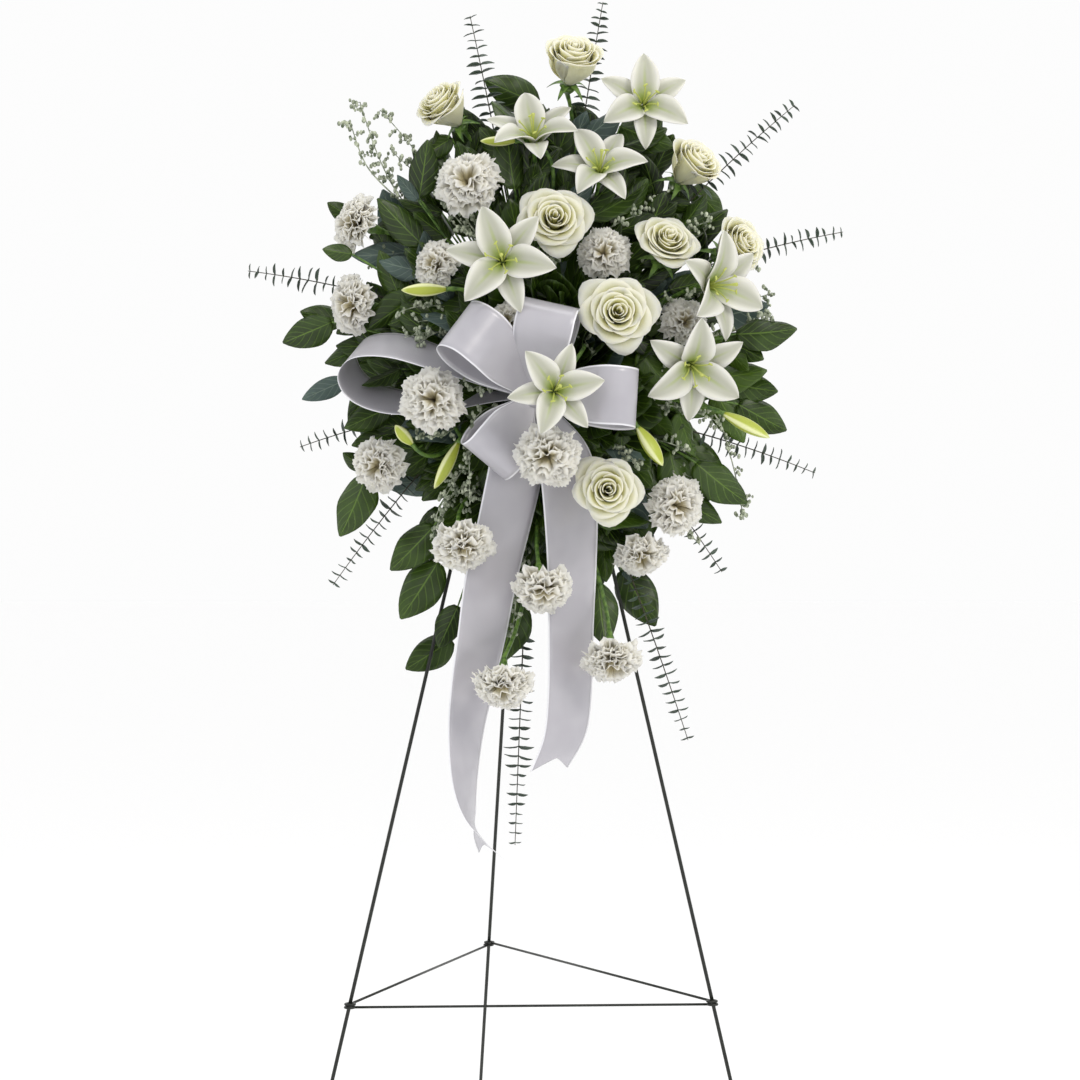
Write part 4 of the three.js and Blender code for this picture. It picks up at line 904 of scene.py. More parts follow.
def add_rose(bm, matrix, width, height, petals, seed):
    """Petals in a spiral round a tight heart. The outer ones flare and roll their lips back, less
    so in a tall rose, which is still half closed."""
    draw = random.Random(seed)
    opened = min(1.0, max(0.2, 1 - (height / width - OPEN_ROSE_SHAPE) / 0.45))
    for i in range(petals):
        inner = i / (petals - 1)
        flare = (1 - inner) ** 0.7 * opened
        angle = i * GOLDEN_ANGLE + draw.uniform(-0.2, 0.2)
        rim = width / 2 * (0.05 + 0.85 * (1 - inner) ** 0.95) * draw.uniform(0.95, 1.05)
        root = 0.12 * rim + 0.6
        spread = 0.98 + 0.5 * inner
        low = 0.56 + 0.26 * (1 - opened)
        tall = height * (low + (0.95 - low) * inner ** 0.75 + draw.uniform(-0.02, 0.02))
        lip = width / 2 * (0.03 + 0.1 * (1 - inner)) * draw.uniform(0.7, 1.2)
        phase, tuck = draw.uniform(0, 6), draw.uniform(0.05, 0.12)

        def place(u, v):
            # Across the petal from -1 to 1, and up it, less at its sides so that the rim is round
            w = 2 * v - 1
            t = u * (1 - (0.17 * (1 - inner) + 0.04) * abs(w) ** 1.8 - 0.06 * abs(w) ** 4)
            fan = math.sin(math.pi / 2 * min(1.0, 0.3 + 0.9 * u))
            turn = angle + w * spread * fan
            cup = math.sin(math.pi / 2 * min(1.0, t / 0.6))
            r = root + (rim - root) * (flare * t ** 1.25 + (1 - flare) * cup) * (1 + tuck * w)
            z = tall * (0.05 + 0.95 * (flare * math.sin(math.pi / 2 * t) + (1 - flare) * t))
            # The lip rolls back, most at the middle of an outer petal
            back = max(0.0, (t - 0.72) / 0.28)
            point = math.exp(-((w / 0.3) ** 2)) * (1 - inner)
            r += lip * back ** 1.3 * (1 + 0.7 * point) + 0.03 * rim * math.sin(3 * w + phase) * t * t
            z -= lip * (0.8 * back ** 2 + 0.3 * math.sin(4 * w + phase) * back)
            return matrix @ (Vector((r * math.cos(turn), r * math.sin(turn), z)) * MM)

        add_grid(bm, 12, 10, place, depth=inner)


def add_carnation(bm, matrix, width, height, petals, seed):
    """Fan-shaped petals with ruffled, faintly pinked rims, which end on a lobed dome and crowd at
    its top."""
    draw = random.Random(seed)
    columns = 20
    lobes = draw.uniform(0, 6)
    for i in range(petals):
        inner = i / (petals - 1)
        angle = i * GOLDEN_ANGLE + draw.uniform(-0.3, 0.3)
        polar = math.acos(0.97 * inner ** 0.9) + draw.uniform(-0.12, 0.12)
        lobe = 1 + 0.06 * math.sin(5 * angle + lobes)
        reach = width / 2 * math.sin(polar) * draw.uniform(0.86, 1.0) * lobe
        top = height * (0.4 + 0.56 * math.cos(polar) * draw.uniform(0.84, 1.06))
        end = Vector((reach, 0, top))
        start = Vector((0.6, 0, 0.1 * height))
        knee = Vector((0.25 * reach, 0, 0.25 * height + 0.6 * top))
        half = 0.31 * width * (1 - 0.3 * inner) * draw.uniform(0.8, 1.15)
        phase, waves = draw.uniform(0, 6), draw.uniform(6, 9)
        ruffle = half * draw.uniform(0.17, 0.27)
        twist = Matrix.Rotation(draw.uniform(-1, 1) * (0.15 + 0.7 * inner), 3, end - start)
        normal = twist @ Vector((-(end - start).z, 0, (end - start).x)).normalized()
        sideways = twist @ Vector((0, 1, 0))

        def place(u, v):
            w = 2 * v - 1
            # Fine teeth at the rim, from one column of vertices to the next
            notch = 0.02 * (1 if round(v * columns) % 2 else -1) * max(0.0, (u - 0.8) / 0.2)
            t = u * (1 - 0.24 * w * w * u + notch + 0.05 * math.sin(5 * w + phase) * u)
            at = bent(start, knee, end, t)
            swing = math.sin(waves * w + phase + 0.8 * u) + 0.45 * math.sin(1.9 * waves * w - phase)
            at += normal * (ruffle * u ** 2.2 * swing - 0.12 * half * w * w * u)
            at += sideways * (w * half * u ** 0.75)
            at.z = max(at.z, 0.06 * height)
            return matrix @ (Matrix.Rotation(angle, 3, "Z") @ at * MM)

        add_grid(bm, columns, 6, place)


def tepal_line(length, opening, steps=24):
    """Distances out from a lily's axis and up along it, from a tepal's root to its tip."""
    r, h = LILY_THROAT * 0.5, 2.0
    line = [(r, h)]
    for i in range(steps):
        s = (i + 0.5) / steps
        angle = math.radians(18 + opening * s ** 0.8 + 30 * max(0.0, s - 0.75))
        r += math.sin(angle) * length / steps
        h += math.cos(angle) * length / steps
        line.append((r, h))
    return line


def add_tepal(bm, matrix, length, width, opening, hollow, seed):
    """One tepal: pointed, hollowed across, waved at its edges and grooved along its midrib."""
    line = tepal_line(length, opening)
    phase = random.Random(seed).uniform(0, 6)

    def place(u, v):
        w = 2 * v - 1
        s = u * (len(line) - 1)
        i = min(int(s), len(line) - 2)
        r = line[i][0] + (line[i + 1][0] - line[i][0]) * (s - i)
        h = line[i][1] + (line[i + 1][1] - line[i][1]) * (s - i)
        swell = math.sin(math.pi * min(1.0, 0.05 + 0.95 * u)) ** 0.8
        cup = hollow * width * abs(w) ** 1.6 * math.sin(math.pi * u)
        wave = 0.035 * width * math.sin(9 * u + phase + (2 if w > 0 else 0)) * w * w * swell
        groove = -0.02 * width * math.exp(-((w / 0.12) ** 2)) * math.sin(math.pi * u)
        side = w * width * swell / 2
        return matrix @ (Vector((side, r - cup * 0.5, h + cup * 0.8 + wave + groove)) * MM)

    add_grid(bm, 8, 14, place)


def add_stamens(bm, matrix, length):
    """Six threads with dusty ends round a longer pistil."""
    for i in range(TEPALS):
        angle = (i + 0.5) * 2 * math.pi / TEPALS
        side = Vector((math.cos(angle), math.sin(angle), 0))
        root = side * 2.5 + Vector((0, 0, 8))
        tip = side * 0.24 * length + Vector((0, 0, 0.52 * length))
        knee = side * 3 + Vector((0, 0, 0.34 * length))
        line = [matrix @ (place * MM) for place in bent_line(root, knee, tip, 6)]
        add_tube(bm, line, [0.8] * 7, 6)
        cross = side.cross(Vector((0, 0, 1))) * 2.6 + side * 1.5
        ends = [matrix @ ((tip + cross * k) * MM) for k in (-1, -0.6, 0, 0.6, 1)]
        add_tube(bm, ends, [0.5, 1.1, 1.3, 1.1, 0.5], 6)
    line = [matrix @ (Vector((1.5 * t / 5, 0, 8 + 0.62 * length * t / 5)) * MM) for t in range(6)]
    add_tube(bm, line, [1.3, 1.1, 1.0, 1.0, 1.2, 2.4], 8)


def sepal_ring(bm, seat, axis, radius, reach):
    """Five narrow sepals under a rose."""
    matrix = stand(seat, axis, Vector((0, 0, 1)))
    for i in range(SEPALS):
        turned = matrix @ Matrix.Rotation(i * 2 * math.pi / SEPALS, 4, "Z")

        def place(u, v):
            w = 2 * v - 1
            half = 4.5 * (1 - u) ** 0.7 + 0.3
            droop = 3 - 0.55 * reach * u + 2.5 * math.sin(math.pi * u) + 0.8 * abs(w)
            return turned @ (Vector((w * half, radius + 0.85 * reach * u, droop)) * MM)

        add_grid(bm, 4, 6, place)


class SPRAY_OT_roses(bpy.types.Operator):
    """Eight open ivory roses"""

    bl_idname = "spray.roses"
    bl_label = "Roses"

    def execute(self, context):
        flowers = context.scene.spray.flowers
        petal = rose_petal_velvet(flowers.rose_heart_and_painted_shade, flowers.rose_rim)
        for i, (pixel, out, turn, lift, width, height) in enumerate(ROSES):
            axis = heading(turn, lift)
            seat = seen(pixel, out) - axis * (height / 2 * MM)
            bm = bmesh.new()
            matrix = stand(seat, axis, Vector((0, 0, 1)))
            add_rose(bm, matrix, width, height, flowers.rose_petals, i)
            name = f"rose_{i + 1}"
            new_piece(
                name + "_petals", bm, petal, [name], ROSE_PETAL_THICKNESS)
        return {"FINISHED"}


class SPRAY_OT_carnations(bpy.types.Operator):
    """Sixteen frilled white carnations"""

    bl_idname = "spray.carnations"
    bl_label = "Carnations"

    def execute(self, context):
        flowers = context.scene.spray.flowers
        petal = carnation_petal_matt(flowers.carnation, flowers.carnation_painted_shade)
        for i, (pixel, out, turn, lift, width, height) in enumerate(CARNATIONS):
            axis = heading(turn, lift)
            seat = seen(pixel, out) - axis * (height / 2 * MM)
            bm = bmesh.new()
            matrix = stand(seat, axis, Vector((0, 0, 1)))
            add_carnation(bm, matrix, width, height, flowers.carnation_petals, 50 + i)
            name = f"carnation_{i + 1}"
            new_piece(
                name + "_petals", bm, petal, [name], CARNATION_PETAL_THICKNESS)
        return {"FINISHED"}


class SPRAY_OT_lilies(bpy.types.Operator):
    """Seven open lilies with their stamens"""

    bl_idname = "spray.lilies"
    bl_label = "Lilies"

    def execute(self, context):
        flowers = context.scene.spray.flowers
        tepal = lily_tepal_waxy(flowers.lily, flowers.lily_throat)
        dusty = stamen_dusty()
        for i, (pixel, out, turn, lift, length, opening, turned) in enumerate(LILIES):
            base = stand(seen(pixel, out), heading(turn, lift), Vector((0, 0, 1)))
            base = base @ Matrix.Rotation(math.radians(turned), 4, "Z")
            bm = bmesh.new()
            for k in range(TEPALS):
                inner = k % 2 == 0
                place = base @ Matrix.Rotation(k * 2 * math.pi / TEPALS, 4, "Z")
                rise = INNER_TEPAL_RISE if inner else 0
                place = place @ Matrix.Translation((0, 0, rise * MM))
                width = (INNER_TEPAL_WIDTH if inner else OUTER_TEPAL_WIDTH) * length
                spread = opening if inner else opening + OUTER_TEPAL_FALL
                add_tepal(bm, place, length, width, spread, 0.2 if inner else 0.05, 10 * i + k)
            name = f"lily_{i + 1}"
            new_piece(name + "_tepals", bm, tepal, [name], TEPAL_THICKNESS)
            bm = bmesh.new()
            add_stamens(bm, base, length)
            new_piece(name + "_stamens", bm, dusty, [])
        return {"FINISHED"}


class SPRAY_OT_buds(bpy.types.Operator):
    """Six unopened lilies"""

    bl_idname = "spray.buds"
    bl_label = "Lily buds"

    def execute(self, context):
        waxy = lily_bud_waxy(context.scene.spray.flowers.bud)
        for i, (base, tip, out, width) in enumerate(BUDS):
            start, end = seen(base, out), seen(tip, out + BUD_LEAN)
            matrix = stand(start, end - start, Vector((0, -1, 0.2)))
            length = (end - start).length

            def place(u, v):
                angle = 2 * math.pi * v
                spindle = math.sin(math.pi * min(1, 0.1 + 0.9 * u)) ** 0.7
                spindle *= 0.72 + 0.5 * u - 0.3 * u * u
                r = width / 2 * spindle * (1 + 0.09 * math.cos(3 * angle)) * MM
                return matrix @ Vector((r * math.cos(angle), r * math.sin(angle), length * u))

            bm = placed_grid(24, 18, place)
            close_up(bm)
            name = f"lily_bud_{i + 1}"
            new_piece(name + "_closed", bm, waxy, [name])
        return {"FINISHED"}


# Ribbon


def strip_frames(stations, steps):
    """Smooth places and half-width vectors between a ribbon's stations."""
    lines = list(zip(*stations))
    return [[smooth_curve(line, i / steps) for line in lines] for i in range(steps + 1)]


def add_ribbon(bm, stations, steps, columns, cup=0.0, notch=0.0):
    """A strip of ribbon through stations, each a place and half its width as a vector.
    Cup bows it across, and notch cuts a V into its end, both in metres. Gives back its length."""
    frames = strip_frames(stations, steps)
    ways = [
        (frames[min(i + 1, steps)][0] - frames[max(i - 1, 0)][0]).normalized()
        for i in range(steps + 1)
    ]

    def place(u, v):
        i = round(u * steps)
        at, across = frames[i]
        w = 2 * v - 1
        normal = ways[i].cross(across).normalized()
        back = notch * (1 - abs(w)) * max(0.0, (u - 0.94) / 0.06)
        return at + across * w + normal * (cup * (1 - w * w)) - ways[i] * back

    add_grid(bm, columns, steps, place)
    return length_of([at for at, _ in frames])


def loop_stations(pixel, out, bulge, curl, root_out):
    """The stations of one loop of the bow, from the knot out to its far end and back."""
    knot = seen(KNOT, root_out)
    reach = seen(pixel, out) - knot
    way = reach.normalized()
    curl = heading(*curl)
    side = (curl - way * curl.dot(way)).normalized()
    across = way.cross(side).normalized()
    found = []
    for i in range(LOOP_STATIONS + 1):
        angle = LOOP_START + (2 * math.pi - 2 * LOOP_START) * i / LOOP_STATIONS
        opened = (1 - math.cos(angle)) / 2
        width = RIBBON_WIDTH * (LOOP_PINCH + (1 - LOOP_PINCH) * min(1, opened * 1.8))
        at = knot + way * (reach.length * opened) + side * (bulge * MM * math.sin(angle) * opened)
        found.append((at, across * (width / 2 * MM)))
    return found


def tail_stations(stations):
    """The stations of one tail, from the knot down."""
    found = []
    for pixel, out, turn, share in stations:
        t = math.radians(turn)
        across = Vector((math.cos(t), math.sin(t), 0)) * (RIBBON_WIDTH * share / 2 * MM)
        found.append((seen(pixel, out), across))
    return found


class SPRAY_OT_bow(bpy.types.Operator):
    """The satin bow: five loops and two tails of one ribbon, tied at a knot on a wooden pick"""

    bl_idname = "spray.bow"
    bl_label = "Satin bow"

    def execute(self, context):
        satin = satin_woven(context.scene.spray.support.satin)
        for i, loop in enumerate(LOOPS):
            bm = bmesh.new()
            length = add_ribbon(bm, loop_stations(*loop), LOOP_STEPS, 10)
            replaced = ["bow"] if i == 0 else []
            name = f"bow_loop_{i + 1}"
            piece = new_piece(name, bm, satin, replaced, RIBBON_THICKNESS)
        tails = (("bow_tail_left", TAIL_LEFT, 90), ("bow_tail_right", TAIL_RIGHT, 70))
        for name, stations, steps in tails:
            bm = bmesh.new()
            length = add_ribbon(
                bm, tail_stations(stations), steps, 10, cup=TAIL_CUP * MM, notch=TAIL_NOTCH * MM)
            piece = new_piece(name, bm, satin, [], RIBBON_THICKNESS)
        self.knot(satin)
        return {"FINISHED"}

    def knot(self, satin):
        """The band round the middle of the bow, gathered into soft pleats, and the pick behind."""
        centre = seen(KNOT, KNOT_OUT - 6)
        matrix = stand(centre, Vector((0.3, 0, 1)), Vector((0, 1, 0)))

        def place(u, v):
            angle = 2 * math.pi * v
            pleat = 0.6 * math.cos(KNOT_PLEATS * math.pi * (2 * u - 1))
            waist = KNOT_RADIUS - 1.6 + pleat - 2.4 * math.cos(math.pi * (2 * u - 1)) ** 2
            z = (u - 0.5) * KNOT_WIDTH
            return matrix @ (Vector((waist * math.cos(angle), waist * math.sin(angle), z)) * MM)

        bm = placed_grid(36, 20, place)
        close_up(bm)
        new_piece("bow_knot", bm, satin, [])
        bm = bmesh.new()
        start = seen(KNOT, KNOT_OUT)
        add_tube(bm, [start, start + Vector((0, PICK_LENGTH * MM, 0))], [PICK_RADIUS] * 2, 10)
        pick = stem_streaked("wooden pick, dyed green", PICK, PICK_LIGHT, 0.7)
        new_piece("bow_pick", bm, pick, [])


# Leaves and stems

LEAF_TRIES = 14
LEAF_ROOM = 1.5
# An edge leaf is tried further out and further in, in steps
EDGE_TRIES = 8
EDGE_STEP = 12
EDGE_ROOM = 2
CROSSING_COST = 100
# Width over length
SALAL_SLENDER = 0.62
SILVER_SLENDER = 0.46
# How deep leaves, stalks and stems are rooted, as shares of the mound's depth
LEAF_DEPTH = 0.75
EDGE_DEPTH = 0.7
SPREAD_DEPTH = 0.6
STALK_STEPS = 8
STALK_RADII = [1.0] + [1.4] * STALK_STEPS
# Seen length of a spread leaf, in pixels
SPREAD_REACH = (40, 66)
STEM_TRIES = 60
STEM_STEPS = 14
STEM_ROOM = 5
STRAY_STEP = 1.5
SWAY_STEP = 3
# What carries a bloom: radius and height
CALYXES = {"rose": (11, 12), "cup": (7.5, 22), "none": (3.6, 8)}


def solid_tree(names):
    """The surfaces of CAD nodes, to keep new leaves and stems clear of them."""
    corners, faces = [], []
    for name in names:
        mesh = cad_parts[name].data
        start = len(corners)
        corners.extend(vert.co.copy() for vert in mesh.vertices)
        faces.extend([start + k for k in face.vertices] for face in mesh.polygons)
    return BVHTree.FromPolygons(corners, faces)


def clearance(tree, point):
    """How far a point is from the nearest surface, below 0 inside a solid, in millimetres."""
    at, normal, _, away = tree.find_nearest(point)
    return (-away if (point - at).dot(normal) < 0 and away < 30 * MM else away) / MM


def mat_point(towards, depth):
    """The place in the mound that lies behind a place, at a share of the mound's depth."""
    middle = moved(*MAT_MIDDLE)
    half = MAT_HALF * MM
    x, z = (towards.x - middle.x) / half.x, (towards.z - middle.z) / half.z
    inward = min(1.0, 0.86 / max(1e-6, math.hypot(x, z)))
    x, z = x * inward, z * inward
    y = -depth * math.sqrt(max(0.0, 1 - x * x - z * z))
    return middle + Vector((x * half.x, y * half.y, z * half.z))


def leaf_place(matrix, length, slender, droop, wave, phase):
    """Where the points of one leaf go: folded along its midrib, drooping, with a pointed tip."""

    def place(u, v):
        w = 2 * v - 1
        swell = math.sin(math.pi * min(1.0, 0.03 + 0.97 * u) ** 0.82)
        half = slender / 2 * max(0.02, swell) ** 0.72 * length
        lift = abs(w) * half * 0.3 + wave * half * math.sin(11 * u + phase) * w * w
        side = w * half * (1 - 0.06 * u)
        return matrix @ Vector((side, lift - droop * length * u * u, u * length))

    return place


def leaf_crosses(tree, place):
    """Whether a leaf cuts through a surface, also one as thin as ribbon."""
    rows, columns = 7, 5
    corners = [
        place(i / (rows - 1), j / (columns - 1)) for i in range(rows) for j in range(columns)]
    faces = [
        (k, k + 1, k + columns + 1, k + columns)
        for k in range((rows - 1) * columns) if k % columns < columns - 1
    ]
    return bool(tree.overlap(BVHTree.FromPolygons(corners, faces)))


def line_crosses(tree, line):
    """Whether a line of points goes through a surface."""
    return any(
        tree.ray_cast(a, b - a, (b - a).length)[0] for a, b in zip(line, line[1:]) if a != b)


def leaf_clearance(tree, place):
    """The least clearance over a few points of a leaf."""
    midrib = ((0.35, 0.5), (0.65, 0.5), (1, 0.5))
    spots = midrib + ((0.45, 0.05), (0.45, 0.95), (0.75, 0.1), (0.75, 0.9))
    return min(clearance(tree, place(u, v)) for u, v in spots)


def leaf_fits(tree, place):
    """Whether there is room for a leaf."""
    return leaf_clearance(tree, place) > LEAF_ROOM and not leaf_crosses(tree, place)


class SPRAY_OT_greens(bpy.types.Operator):
    """Salal and silver leaves over the foam, and the stems of the flowers"""

    bl_idname = "spray.greens"
    bl_label = "Leaves and stems"

    def execute(self, context):
        greens = context.scene.spray.greens
        tree = solid_tree([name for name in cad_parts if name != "greenery"])
        draw = random.Random(7)
        leaves = {"salal": bmesh.new(), "silver": bmesh.new()}
        stems = bmesh.new()
        self.edge_leaves(leaves, stems, tree, draw)
        self.fill_leaves(leaves, stems, tree, draw, greens.fill_leaves)
        self.spread_leaves(leaves, stems, tree, draw, greens.spread_leaves)
        self.flower_stems(stems, tree, greens.stem_radius / MM)
        salal = leaf_glossy(
            "salal leaf, leathery", greens.salal_dark, greens.salal_light, SALAL_VEIN, 0.36, 6)
        silver = leaf_glossy(
            "silver dollar leaf, bloomed", greens.silver, SILVER_LIGHT, SILVER_VEIN, 0.6, 5)
        stem = stem_streaked("flower stem, cut", STEM, STEM_LIGHT, 0.45)
        new_piece(
            "salal_leaf_mass", leaves["salal"], salal, ["greenery"], LEAF_THICKNESS)
        new_piece("silver_leaf_mass", leaves["silver"], silver, [], LEAF_THICKNESS)
        new_piece("flower_stems", stems, stem, [])
        return {"FINISHED"}

    def edge_leaves(self, leaves, stems, tree, draw):
        """The large leaves of the lists, each moved in or out until it is clear."""
        behind = [(*leaf, "salal") for leaf in BACK_LEAVES]
        for pixel_base, pixel_tip, out, kind in EDGE_LEAVES + behind:
            facing = -heading(draw.uniform(-15, 15), draw.uniform(-5, 25))
            slender = SALAL_SLENDER if kind == "salal" else SILVER_SLENDER
            best = None
            for k in range(EDGE_TRIES):
                shift = (-1 if k % 2 else 1) * math.ceil(k / 2) * EDGE_STEP
                base, tip = seen(pixel_base, out + shift - 6), seen(pixel_tip, out + shift)
                matrix = stand(base, tip - base, facing)
                phase = draw.uniform(0, 6)
                place = leaf_place(matrix, (tip - base).length, slender, 0.14, 0.12, phase)
                room = leaf_clearance(tree, place)
                if leaf_crosses(tree, place):
                    room -= CROSSING_COST
                if best is None or room > best[0] + 1e-6 and best[0] < EDGE_ROOM:
                    best = (room, place, base)
            _, place, base = best
            age = 0.2 + 0.55 * (len(leaves["salal"].faces) * GOLDEN_SHARE % 1)
            add_grid(leaves[kind], 8, 12, place, age=age)
            root = mat_point(base, EDGE_DEPTH)
            knee = base.lerp(root, 0.5) + Vector((0, 0.02, 0.01))
            add_tube(stems, bent_line(base, knee, root, STALK_STEPS), STALK_RADII, 6)

    def fill_leaves(self, leaves, stems, tree, draw, count):
        """Short leaves all round the mound, each tried in other directions until it is clear."""
        middle, half = moved(*MAT_MIDDLE), MAT_HALF * MM
        for i in range(count):
            angle = i * GOLDEN_ANGLE
            ring = math.sqrt((i * 7 % count + 0.5) / count)
            for attempt in range(LEAF_TRIES):
                away = Vector((
                    ring * math.cos(angle), -0.15 - 0.85 * (1 - ring), ring * math.sin(angle)))
                away += scattered(draw, 0.5) * (0.5 + 0.06 * attempt)
                root = mat_point(middle + Vector([a * b for a, b in zip(away, half)]), LEAF_DEPTH)
                grow = (away.normalized() + Vector((0, 0.3, -0.1))).normalized()
                facing = -heading(draw.uniform(-35, 35), draw.uniform(-5, 50))
                length = draw.uniform(58, 108) * MM * (1 - 0.03 * attempt)
                slender, phase = draw.uniform(0.5, 0.66), draw.uniform(0, 6)
                place = leaf_place(stand(root, grow, facing), length, slender, 0.16, 0.14, phase)
                if leaf_fits(tree, place):
                    age = 0.6 * (i * GOLDEN_SHARE % 1)
                    add_grid(leaves["salal" if i % 9 else "silver"], 6, 8, place, age=age)
                    line = [mat_point(root, 0.2), mat_point(root, 0.5), root, place(0.1, 0.5)]
                    add_tube(stems, line, [1.4] * 4, 5)
                    break

    def spread_leaves(self, leaves, stems, tree, draw, count):
        """Leaves on long stalks between and behind the flowers, over an oval seen from the front."""
        for i in range(count):
            angle = i * GOLDEN_ANGLE
            ring = SPREAD_INNER + (1 - SPREAD_INNER) * math.sqrt((i + 0.5) / count)
            for attempt in range(LEAF_TRIES):
                spread = ring * (1 - 0.04 * attempt * draw.random())
                base = [
                    SPREAD_MIDDLE[0] + SPREAD_HALF[0] * spread * math.cos(angle),
                    SPREAD_MIDDLE[1] + SPREAD_HALF[1] * spread * math.sin(angle),
                ]
                turn = angle + draw.uniform(-1.0, 1.0)
                reach = draw.uniform(*SPREAD_REACH)
                tip = [base[0] + reach * math.cos(turn), base[1] + reach * math.sin(turn)]
                out = 60 * (1 - ring) + draw.uniform(-25, 45)
                start, end = seen(base, out), seen(tip, out + draw.uniform(-14, 14))
                facing = -heading(draw.uniform(-40, 40), draw.uniform(-15, 50))
                matrix = stand(start, end - start, facing)
                slender, phase = draw.uniform(0.48, 0.64), draw.uniform(0, 6)
                place = leaf_place(matrix, (end - start).length, slender, 0.15, 0.14, phase)
                if not leaf_fits(tree, place):
                    continue
                root = mat_point(start, SPREAD_DEPTH)
                knee = start.lerp(root, 0.5) + Vector((0, 0.03, 0.01))
                line = bent_line(start, knee, root, STALK_STEPS)
                if line_crosses(tree, line[:7]) and attempt < LEAF_TRIES - 2:
                    continue
                age = (i * GOLDEN_SHARE % 1) ** 1.5
                add_grid(leaves["silver" if i % 11 == 3 else "salal"], 6, 9, place, age=age)
                add_tube(stems, line, STALK_RADII, 5)
                break

    def flower_stems(self, bm, tree, radius):
        """A stem from each flower to the mound, with a calyx or cup under the bloom."""
        draw = random.Random(21)
        ends = []
        for calyx, blooms in (("rose", ROSES), ("cup", CARNATIONS)):
            for pixel, out, turn, lift, _, height in blooms:
                axis = heading(turn, lift)
                ends.append((seen(pixel, out) - axis * (height / 2 * MM), axis, calyx, None))
        for i, (pixel, out, turn, lift, *_) in enumerate(LILIES):
            ends.append((seen(pixel, out), heading(turn, lift), "none", LILY_WAYS.get(i)))
        for base, tip, out, _ in BUDS:
            start = seen(base, out)
            axis = (seen(tip, out + BUD_LEAN) - start).normalized()
            ends.append((start, axis, "none", None))
        for seat, axis, calyx, way in ends:
            wide, tall = CALYXES[calyx]
            neck = seat - axis * (tall * MM)
            line = self.clear_line(neck, axis, tree, draw)
            if way:
                places = [neck] + [seen(*place) for place in way]
                line = [smooth_curve(places, i / STEM_STEPS) for i in range(STEM_STEPS + 1)]
            cup = [seat, seat - axis * (0.45 * tall * MM)]
            radii = [wide, wide * 0.72, radius + 0.6] + [radius] * STEM_STEPS
            add_tube(bm, cup + line, radii, 8)
            if calyx == "rose":
                sepal_ring(bm, seat, axis, SEPAL_SEAT, SEPAL_REACH)

    def clear_line(self, neck, axis, tree, draw):
        """A line from a neck to the mound: the first of many that is well clear, or else the best."""
        most, best = -math.inf, None
        for attempt in range(STEM_TRIES):
            stray = scattered(draw) * (attempt * STRAY_STEP * MM)
            root = mat_point(neck + stray, EDGE_DEPTH)
            sway = scattered(draw) * (attempt % 20 * SWAY_STEP * MM)
            hook = neck - axis * (0.35 * (root - neck).length) + sway
            line = bent_line(neck, hook, root, STEM_STEPS)
            room = min(clearance(tree, place) for place in line[3:12])
            if room > most:
                most, best = room, line
            if room > STEM_ROOM:
                break
        return best


SPRIG_STEPS = 24
STRING_STEPS = 20
STRING_TRIES = 30
SEED_SPACING = 7
SEED_ROOM = 3.5
SEED_SHARES = (0.3, 0.55, 0.78, 1.0)


class SPRAY_OT_sprigs(bpy.types.Operator):
    """Straight sprigs of small eucalyptus leaves in pairs"""

    bl_idname = "spray.sprigs"
    bl_label = "Eucalyptus sprigs"

    def execute(self, context):
        leaf = leaf_glossy(
            "eucalyptus leaf, dull", EUCALYPTUS, EUCALYPTUS_LIGHT, EUCALYPTUS_VEIN, 0.55, 3)
        bark = stem_streaked("eucalyptus twig, woody", BARK, BARK_LIGHT, 0.7)
        draw = random.Random(11)
        for number, lines in enumerate(SPRIGS):
            leaves, twigs = bmesh.new(), bmesh.new()
            for root, tip, out in lines:
                start, end = seen(root, ROOT_OUT), seen(tip, out)
                rise = Vector((0, 0, 0.06 * (end - start).length))
                line = bent_line(start, start.lerp(end, 0.5) + rise, end, SPRIG_STEPS)
                radii = [TWIG_RADIUS * (1 - 0.6 * t / SPRIG_STEPS) for t in range(SPRIG_STEPS + 1)]
                add_tube(twigs, line, radii, 6)
                self.pairs(leaves, line, draw)
            name = f"eucalyptus_{number + 1}"
            new_piece(name + "_leaves", leaves, leaf, [name], LEAF_THICKNESS)
            new_piece(name + "_twig", twigs, bark, [])
        return {"FINISHED"}

    def pairs(self, bm, line, draw):
        """Leaves in opposite pairs, square to the twig, that grow smaller towards its tip."""
        total = length_of(line) / MM
        count = int(total * (1 - SPRIG_BARE) / PAIR_SPACING)
        for k in range(count):
            s = (1 - (k * PAIR_SPACING + 3) / total) * SPRIG_STEPS
            i = min(int(s), SPRIG_STEPS - 1)
            at = line[i].lerp(line[i + 1], s - i)
            way = (line[i + 1] - line[i]).normalized()
            side = Vector((0, 1, 0)).cross(way).normalized()
            turn = draw.uniform(-0.35, 0.35) + (0.4 if k % 2 else -0.4)
            side = Matrix.Rotation(turn, 3, way) @ side
            size = (9 + 8 * min(1.0, k / 8)) * draw.uniform(0.7, 1.2) * MM
            for sign in (1, -1):
                grow = side * sign + way * draw.uniform(0.05, 0.4)
                matrix = stand(at, grow, way + Vector((0, draw.uniform(-0.9, 0.5), 0.01)))
                place = leaf_place(matrix, size, 0.54, 0.16, 0.05, 0)
                add_grid(bm, 4, 5, place, age=draw.random())


